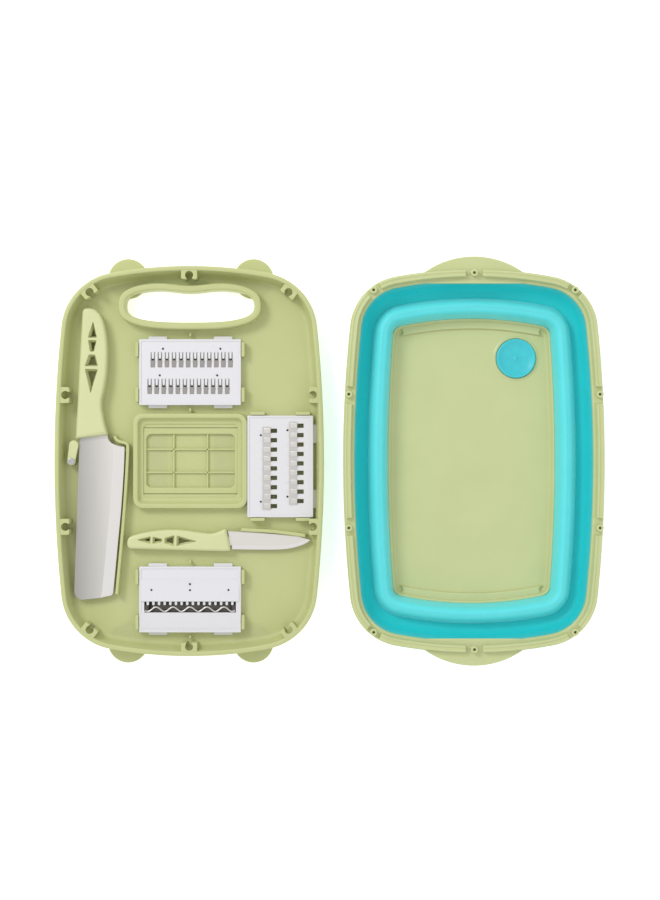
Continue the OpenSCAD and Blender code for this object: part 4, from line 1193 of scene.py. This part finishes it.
# %% Ridge helper
def ridge_segment(mesh, first, last):
    """The ridges between two posts and the groove between them: one bar with its ends rounded down."""
    length = last - first
    steps = max(8, int(length / 5))
    ends = [0.0, 0.15, 0.45, 0.9]
    stations = ends + [0.9 + (length - 1.8) * i / steps for i in range(1, steps)]
    stations += [length - e for e in reversed(ends)]
    outer, groove_out, groove_in, inner = RIDGE_BAND
    shape = [(outer, 0, 0), (outer, 1, 0.8), (groove_out, 1, 0.7), (groove_out + 0.4, 0, 0.5),
             (groove_in - 0.4, 0, 0.5), (groove_in, 1, 0.7), (inner, 1, 0.8), (inner + 0.7, 0, 0)]
    middle = (outer + inner) / 2
    loops = []
    for station in stations:
        edge = min(station, length - station, 0.9) / 0.9
        full = sqrt(max(0.0, 1 - (1 - edge) ** 2))
        top = DECK + (RIM_H - DECK) * (0.8 + 0.2 * full)
        corners = [(middle + (x - middle) * (0.88 + 0.12 * full), z, r) for x, z, r in shape]
        levels = [DECK - 0.3, top, top, top - GROOVE, top - GROOVE, top, top, DECK - 0.3]
        section = softened([(x, level, r) for (x, z, r), level in zip(corners, levels)], 3)
        loop = []
        for inset, z in section:
            p = track.at(first + station, RIM_INSET + inset)
            loop.append(Vector((p.x, p.y, z)))
        loops.append(loop)
    rows = skin(mesh, loops)
    mesh.faces.new(list(reversed(rows[0])))
    mesh.faces.new(rows[-1])


# %% [markdown]
# ### Grip ears
# A hand lifts the basin by two shallow ears. Each is one circular arc past the rim's end, and its straight
# sides are buried in the rim.

# %% Ear helper
EAR = (88.0, 12.6)            # width of the ear's arc at the rim's edge, and how far it stands out


def ear_outline(sy):
    """A shallow arc that stands out past the rim's end. Its ends are buried in the rim."""
    edge = BOARD[1] - RIM_INSET
    wide, out = EAR
    radius = (wide * wide / 4 + out * out) / (2 * out)
    half = 50.0
    loop = []
    for i in range(41):
        x = -half + 2 * half * i / 40
        loop.append(Vector((x, edge + out - radius + sqrt(radius ** 2 - x * x))))
    loop = [Vector((-half, edge - 14))] + loop + [Vector((half, edge - 14))]
    loop = [Vector((p.x, sy * p.y)) for p in loop]
    return list(reversed(loop)) if sy > 0 else loop


# %% [markdown]
# ### The whole rim
# Flange, ridges, hollow posts and ears go into one mesh and get one finish, since they are one moulding.

# %% The whole rim
rim = bmesh.new()
skin(rim, [lifted(bowed(BOARD, RIM_INSET + inset), z) for inset, z in softened(FLANGE_SECTION, 4)[:-1]],
     closed_section=True)
for number, stop in enumerate(stops):
    after = stops[(number + 1) % len(stops)] + (track.reach[-1] if number == len(stops) - 1 else 0)
    ridge_segment(rim, stop + GAP_HALF, after - GAP_HALF)
hollow_post = [(1.4, DECK - 0.3), (3.6, DECK - 0.3), (3.6, RIM_H - 0.8), (3.3, RIM_H - 0.2), (2.7, RIM_H),
               (1.8, RIM_H), (1.4, RIM_H - 0.3)]
for x, y, _ in POSTS:
    turned(rim, hollow_post, (x, y), 32)
for sy in (-1, 1):
    plate(rim, ear_outline(sy), DECK - 3.7, DECK - 0.3, 1.1, steps=4)
bmesh.ops.transform(rim, matrix=AT_BASIN, verts=rim.verts)
finish_piece("rim_moulding", rim, [basin_pp], "basin_rim", ["basin_rim"])

# %% [markdown]
# ## The folding wall
# The wall is one silicone moulding. Folded, it drops from the rim to a sharp valley, rises to a rounded ridge
# and drops again to the base. When the rim is lifted the middle stretch turns inside out. So the wall is made
# in three bands: the upper one rides on the rim, the lower one stands on the base, and the middle one is
# baked in place here and rides on neither body.

# %% Wall bands
WALL_TOP_IN = RIM_INSET + RIM_IN
SILICONE = 2.0


def carried(mesh, section, shape_a, shape_b, span, closed=True):
    """Carries a closed section round, measured across from shape_a (0) towards shape_b (span)."""
    loops = [lifted(between(shape_a, shape_b, across / span), z) for across, z in section]
    skin(mesh, loops, closed_section=closed)


def thick_line(line, thick):
    """The closed section of a sheet whose middle follows the line."""
    left, right = [], []
    for i, here in enumerate(line):
        along = (line[min(i + 1, len(line) - 1)] - line[max(i - 1, 0)]).normalized()
        side = Vector((-along.y, along.x)) * thick / 2
        left.append(here + side)
        right.append(here - side)
    return left + list(reversed(right))


# %% [markdown]
# ### The three bands
# Each band is one curved line in section, thickened and carried between two of the bowed outlines.

# %% Upper band
wall_top = (BOARD[0] - WALL_TOP_IN + 1, BOARD[1] - WALL_TOP_IN + 1, BOARD[2], BOARD[3] - WALL_TOP_IN + 1,
            BOARD[4] - WALL_TOP_IN + 1)
upper_line = [Vector(p) for p in ((13.6, RIM_FLOOR), (13.3, 31.5), (12.6, 27), (11.2, 22.2), (8.8, 18.4),
                                  (5.6, 15.9), (2.4, 14.5), (0.4, 14.0))]
upper = bmesh.new()
carried(upper, thick_line(smooth_loop(upper_line, 3, closed=False), SILICONE), FOLD, wall_top, 13.6)
bmesh.ops.transform(upper, matrix=AT_BASIN, verts=upper.verts)
# The upper band takes the darker silicone, painted shade.
finish_piece("silicone_upper_band", upper, [painted_shade_silicone], "basin_rim",
             ["basin_wall_upper"], 60)

# %% Fold band
fold_line = [Vector(p) for p in ((0.3, 14.0), (0.9, 14.6), (1.3, 16.2), (1.9, 18.8), (2.9, 22), (4.2, 25.0),
                                 (6.0, 27.4), (8.2, 28.7), (10.2, 29.0))]
fold = bmesh.new()
carried(fold, thick_line(smooth_loop(fold_line, 4, closed=False), SILICONE), FOLD, RIDGE, 10.0)
bmesh.ops.transform(fold, matrix=AT_BASIN, verts=fold.verts)
# The fold band takes the paler silicone, painted light.
fold_piece = finish_piece("silicone_fold_band", fold, [painted_light_silicone], None,
                          ["basin_wall_fold"], 60)
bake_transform(fold_piece)

# %% Lower band
lower_line = [Vector(p) for p in ((-0.2, 29.0), (2.0, 28.6), (4.2, 27.0), (6.0, 23.8), (7.4, 19),
                                  (8.4, 14.5), (9.1, 11), (9.5, 6), (9.5, 2.6))]
lower = bmesh.new()
carried(lower, thick_line(smooth_loop(lower_line, 4, closed=False), SILICONE), RIDGE, BASE, 10.0)
bmesh.ops.transform(lower, matrix=AT_BASIN, verts=lower.verts)
# The lower band takes the paler silicone, painted light.
finish_piece("silicone_lower_band", lower, [painted_light_silicone], "basin_base",
             ["basin_wall_lower"], 60)

# %% [markdown]
# ## The basin's base and plug
# The base is a stiff green pan that the silicone grips. Its floor is filled between the low wall and the
# drain's seat, and the plug is a soft dished disc turned about its own axis.

# %% Base
BASE_TOP = 11.0
BASE_FLOOR = 5.0
DRAIN = (44.7, 102.0)
PLUG_R = 19.5

base = bmesh.new()
BASE_SECTION = [(9.0, 2.0, 0), (7.8, 2.0, 0), (7.8, 0.0, 0.6), (2.6, 0.0, 0.8), (2.6, 2.0, 0),
                (0.0, 2.0, 0.5), (0.0, BASE_TOP, 0.6), (1.8, BASE_TOP, 0.9), (4.2, BASE_FLOOR, 2.0),
                (8.0, BASE_FLOOR, 0)]
BASE_ROUND = BASE[:4] + (10.5,)
pan_wall = skin(base, [lifted(bowed(BASE_ROUND, inset), z) for inset, z in softened(BASE_SECTION, 4)])
seat_steps = ((4.2, 0.0), (3.0, 0.35), (2.2, 0.95), (1.2, 1.0), (0.5, 0.8), (0.4, -1.0))
seat = skin(base, [lifted(circle(DRAIN, PLUG_R + out, 96), BASE_FLOOR + up) for out, up in seat_steps])
cap(base, [pan_wall[-1], seat[0]])
drain_holes = [circle(DRAIN, 3.4, 20)]
for k in range(6):
    turn = k * pi / 3 + pi / 2
    drain_holes.append(circle((DRAIN[0] + 9 * cos(turn), DRAIN[1] + 9 * sin(turn)), 3.2, 20))
hole_rows = [skin(base, [lifted(hole, BASE_FLOOR - 1.0), lifted(hole, 2.0)]) for hole in drain_holes]
cap(base, [seat[-1]] + [row[0] for row in hole_rows])
cap(base, [pan_wall[0]] + [row[1] for row in hole_rows])
for sy in (-1, 1):
    strip = [Vector((x, sy * (BASE[1] - 5.8 - x * x / (2 * BASE[3])))) for x in range(-72, 73, 8)]
    plate(base, ribbon(strip, 8.2), BASE_FLOOR - 0.3, BASE_FLOOR + 3.0, 1.2)
bmesh.ops.transform(base, matrix=AT_BASIN, verts=base.verts)
finish_piece("base_moulding", base, [basin_pp], "basin_base", ["basin_base"])

# %% [markdown]
# ### Drain plug
# The plug is one turned profile: a stem below, a round rim and a dish with a small raised middle.

# %% Plug
plug = bmesh.new()
seat_z = BASE_FLOOR - 0.8
plug_profile = [(0, -2.6), (2.3, -2.6), (2.8, -2.0), (3.0, -1.2), (3.0, 0), (PLUG_R - 0.5, 0), (PLUG_R, 0.5),
                (PLUG_R, 3.3), (PLUG_R - 0.35, 3.95), (PLUG_R - 0.9, 4.2), (PLUG_R - 1.6, 4.1)]
plug_profile += [(r, 0.9 + 2.9 * (r / (PLUG_R - 2.2)) ** 4) for r in (17.3, 16.4, 15.4, 14, 12, 9, 6, 2.6)]
plug_profile += [(2.0, 1.1), (1.5, 1.6), (0.8, 1.95), (0, 2.0)]
turned(plug, [(r, seat_z + z) for r, z in plug_profile], DRAIN, 96)
bmesh.ops.transform(plug, matrix=AT_BASIN, verts=plug.verts)
finish_piece("drain_plug_moulding", plug, [plug_silicone], "drain_plug", ["drain_plug"], 60)

# %% [markdown]
# ## The table
# A plain white sheet carries the shadows and is not part of the set. Product tables are often lit softly from
# below, which keeps the narrow gap between the two halves from going dark, so the sheet glows a little.

# %% Floor
floor_mesh = bpy.data.meshes.new("table_top")
reach = 6.0
floor_mesh.from_pydata([(-reach, -reach, 0), (reach, -reach, 0), (reach, reach, 0), (-reach, reach, 0)], [],
                       [(0, 1, 2, 3)])
table_paint, _ = new_finish("backlit_white_acrylic_table", "#ffffff", 0.9, Emission_Strength=0.45)
floor_mesh.materials.append(table_paint)
table = bpy.data.objects.new("table_top", floor_mesh)
table.location.z = -0.0002
bpy.context.scene.collection.objects.link(table)
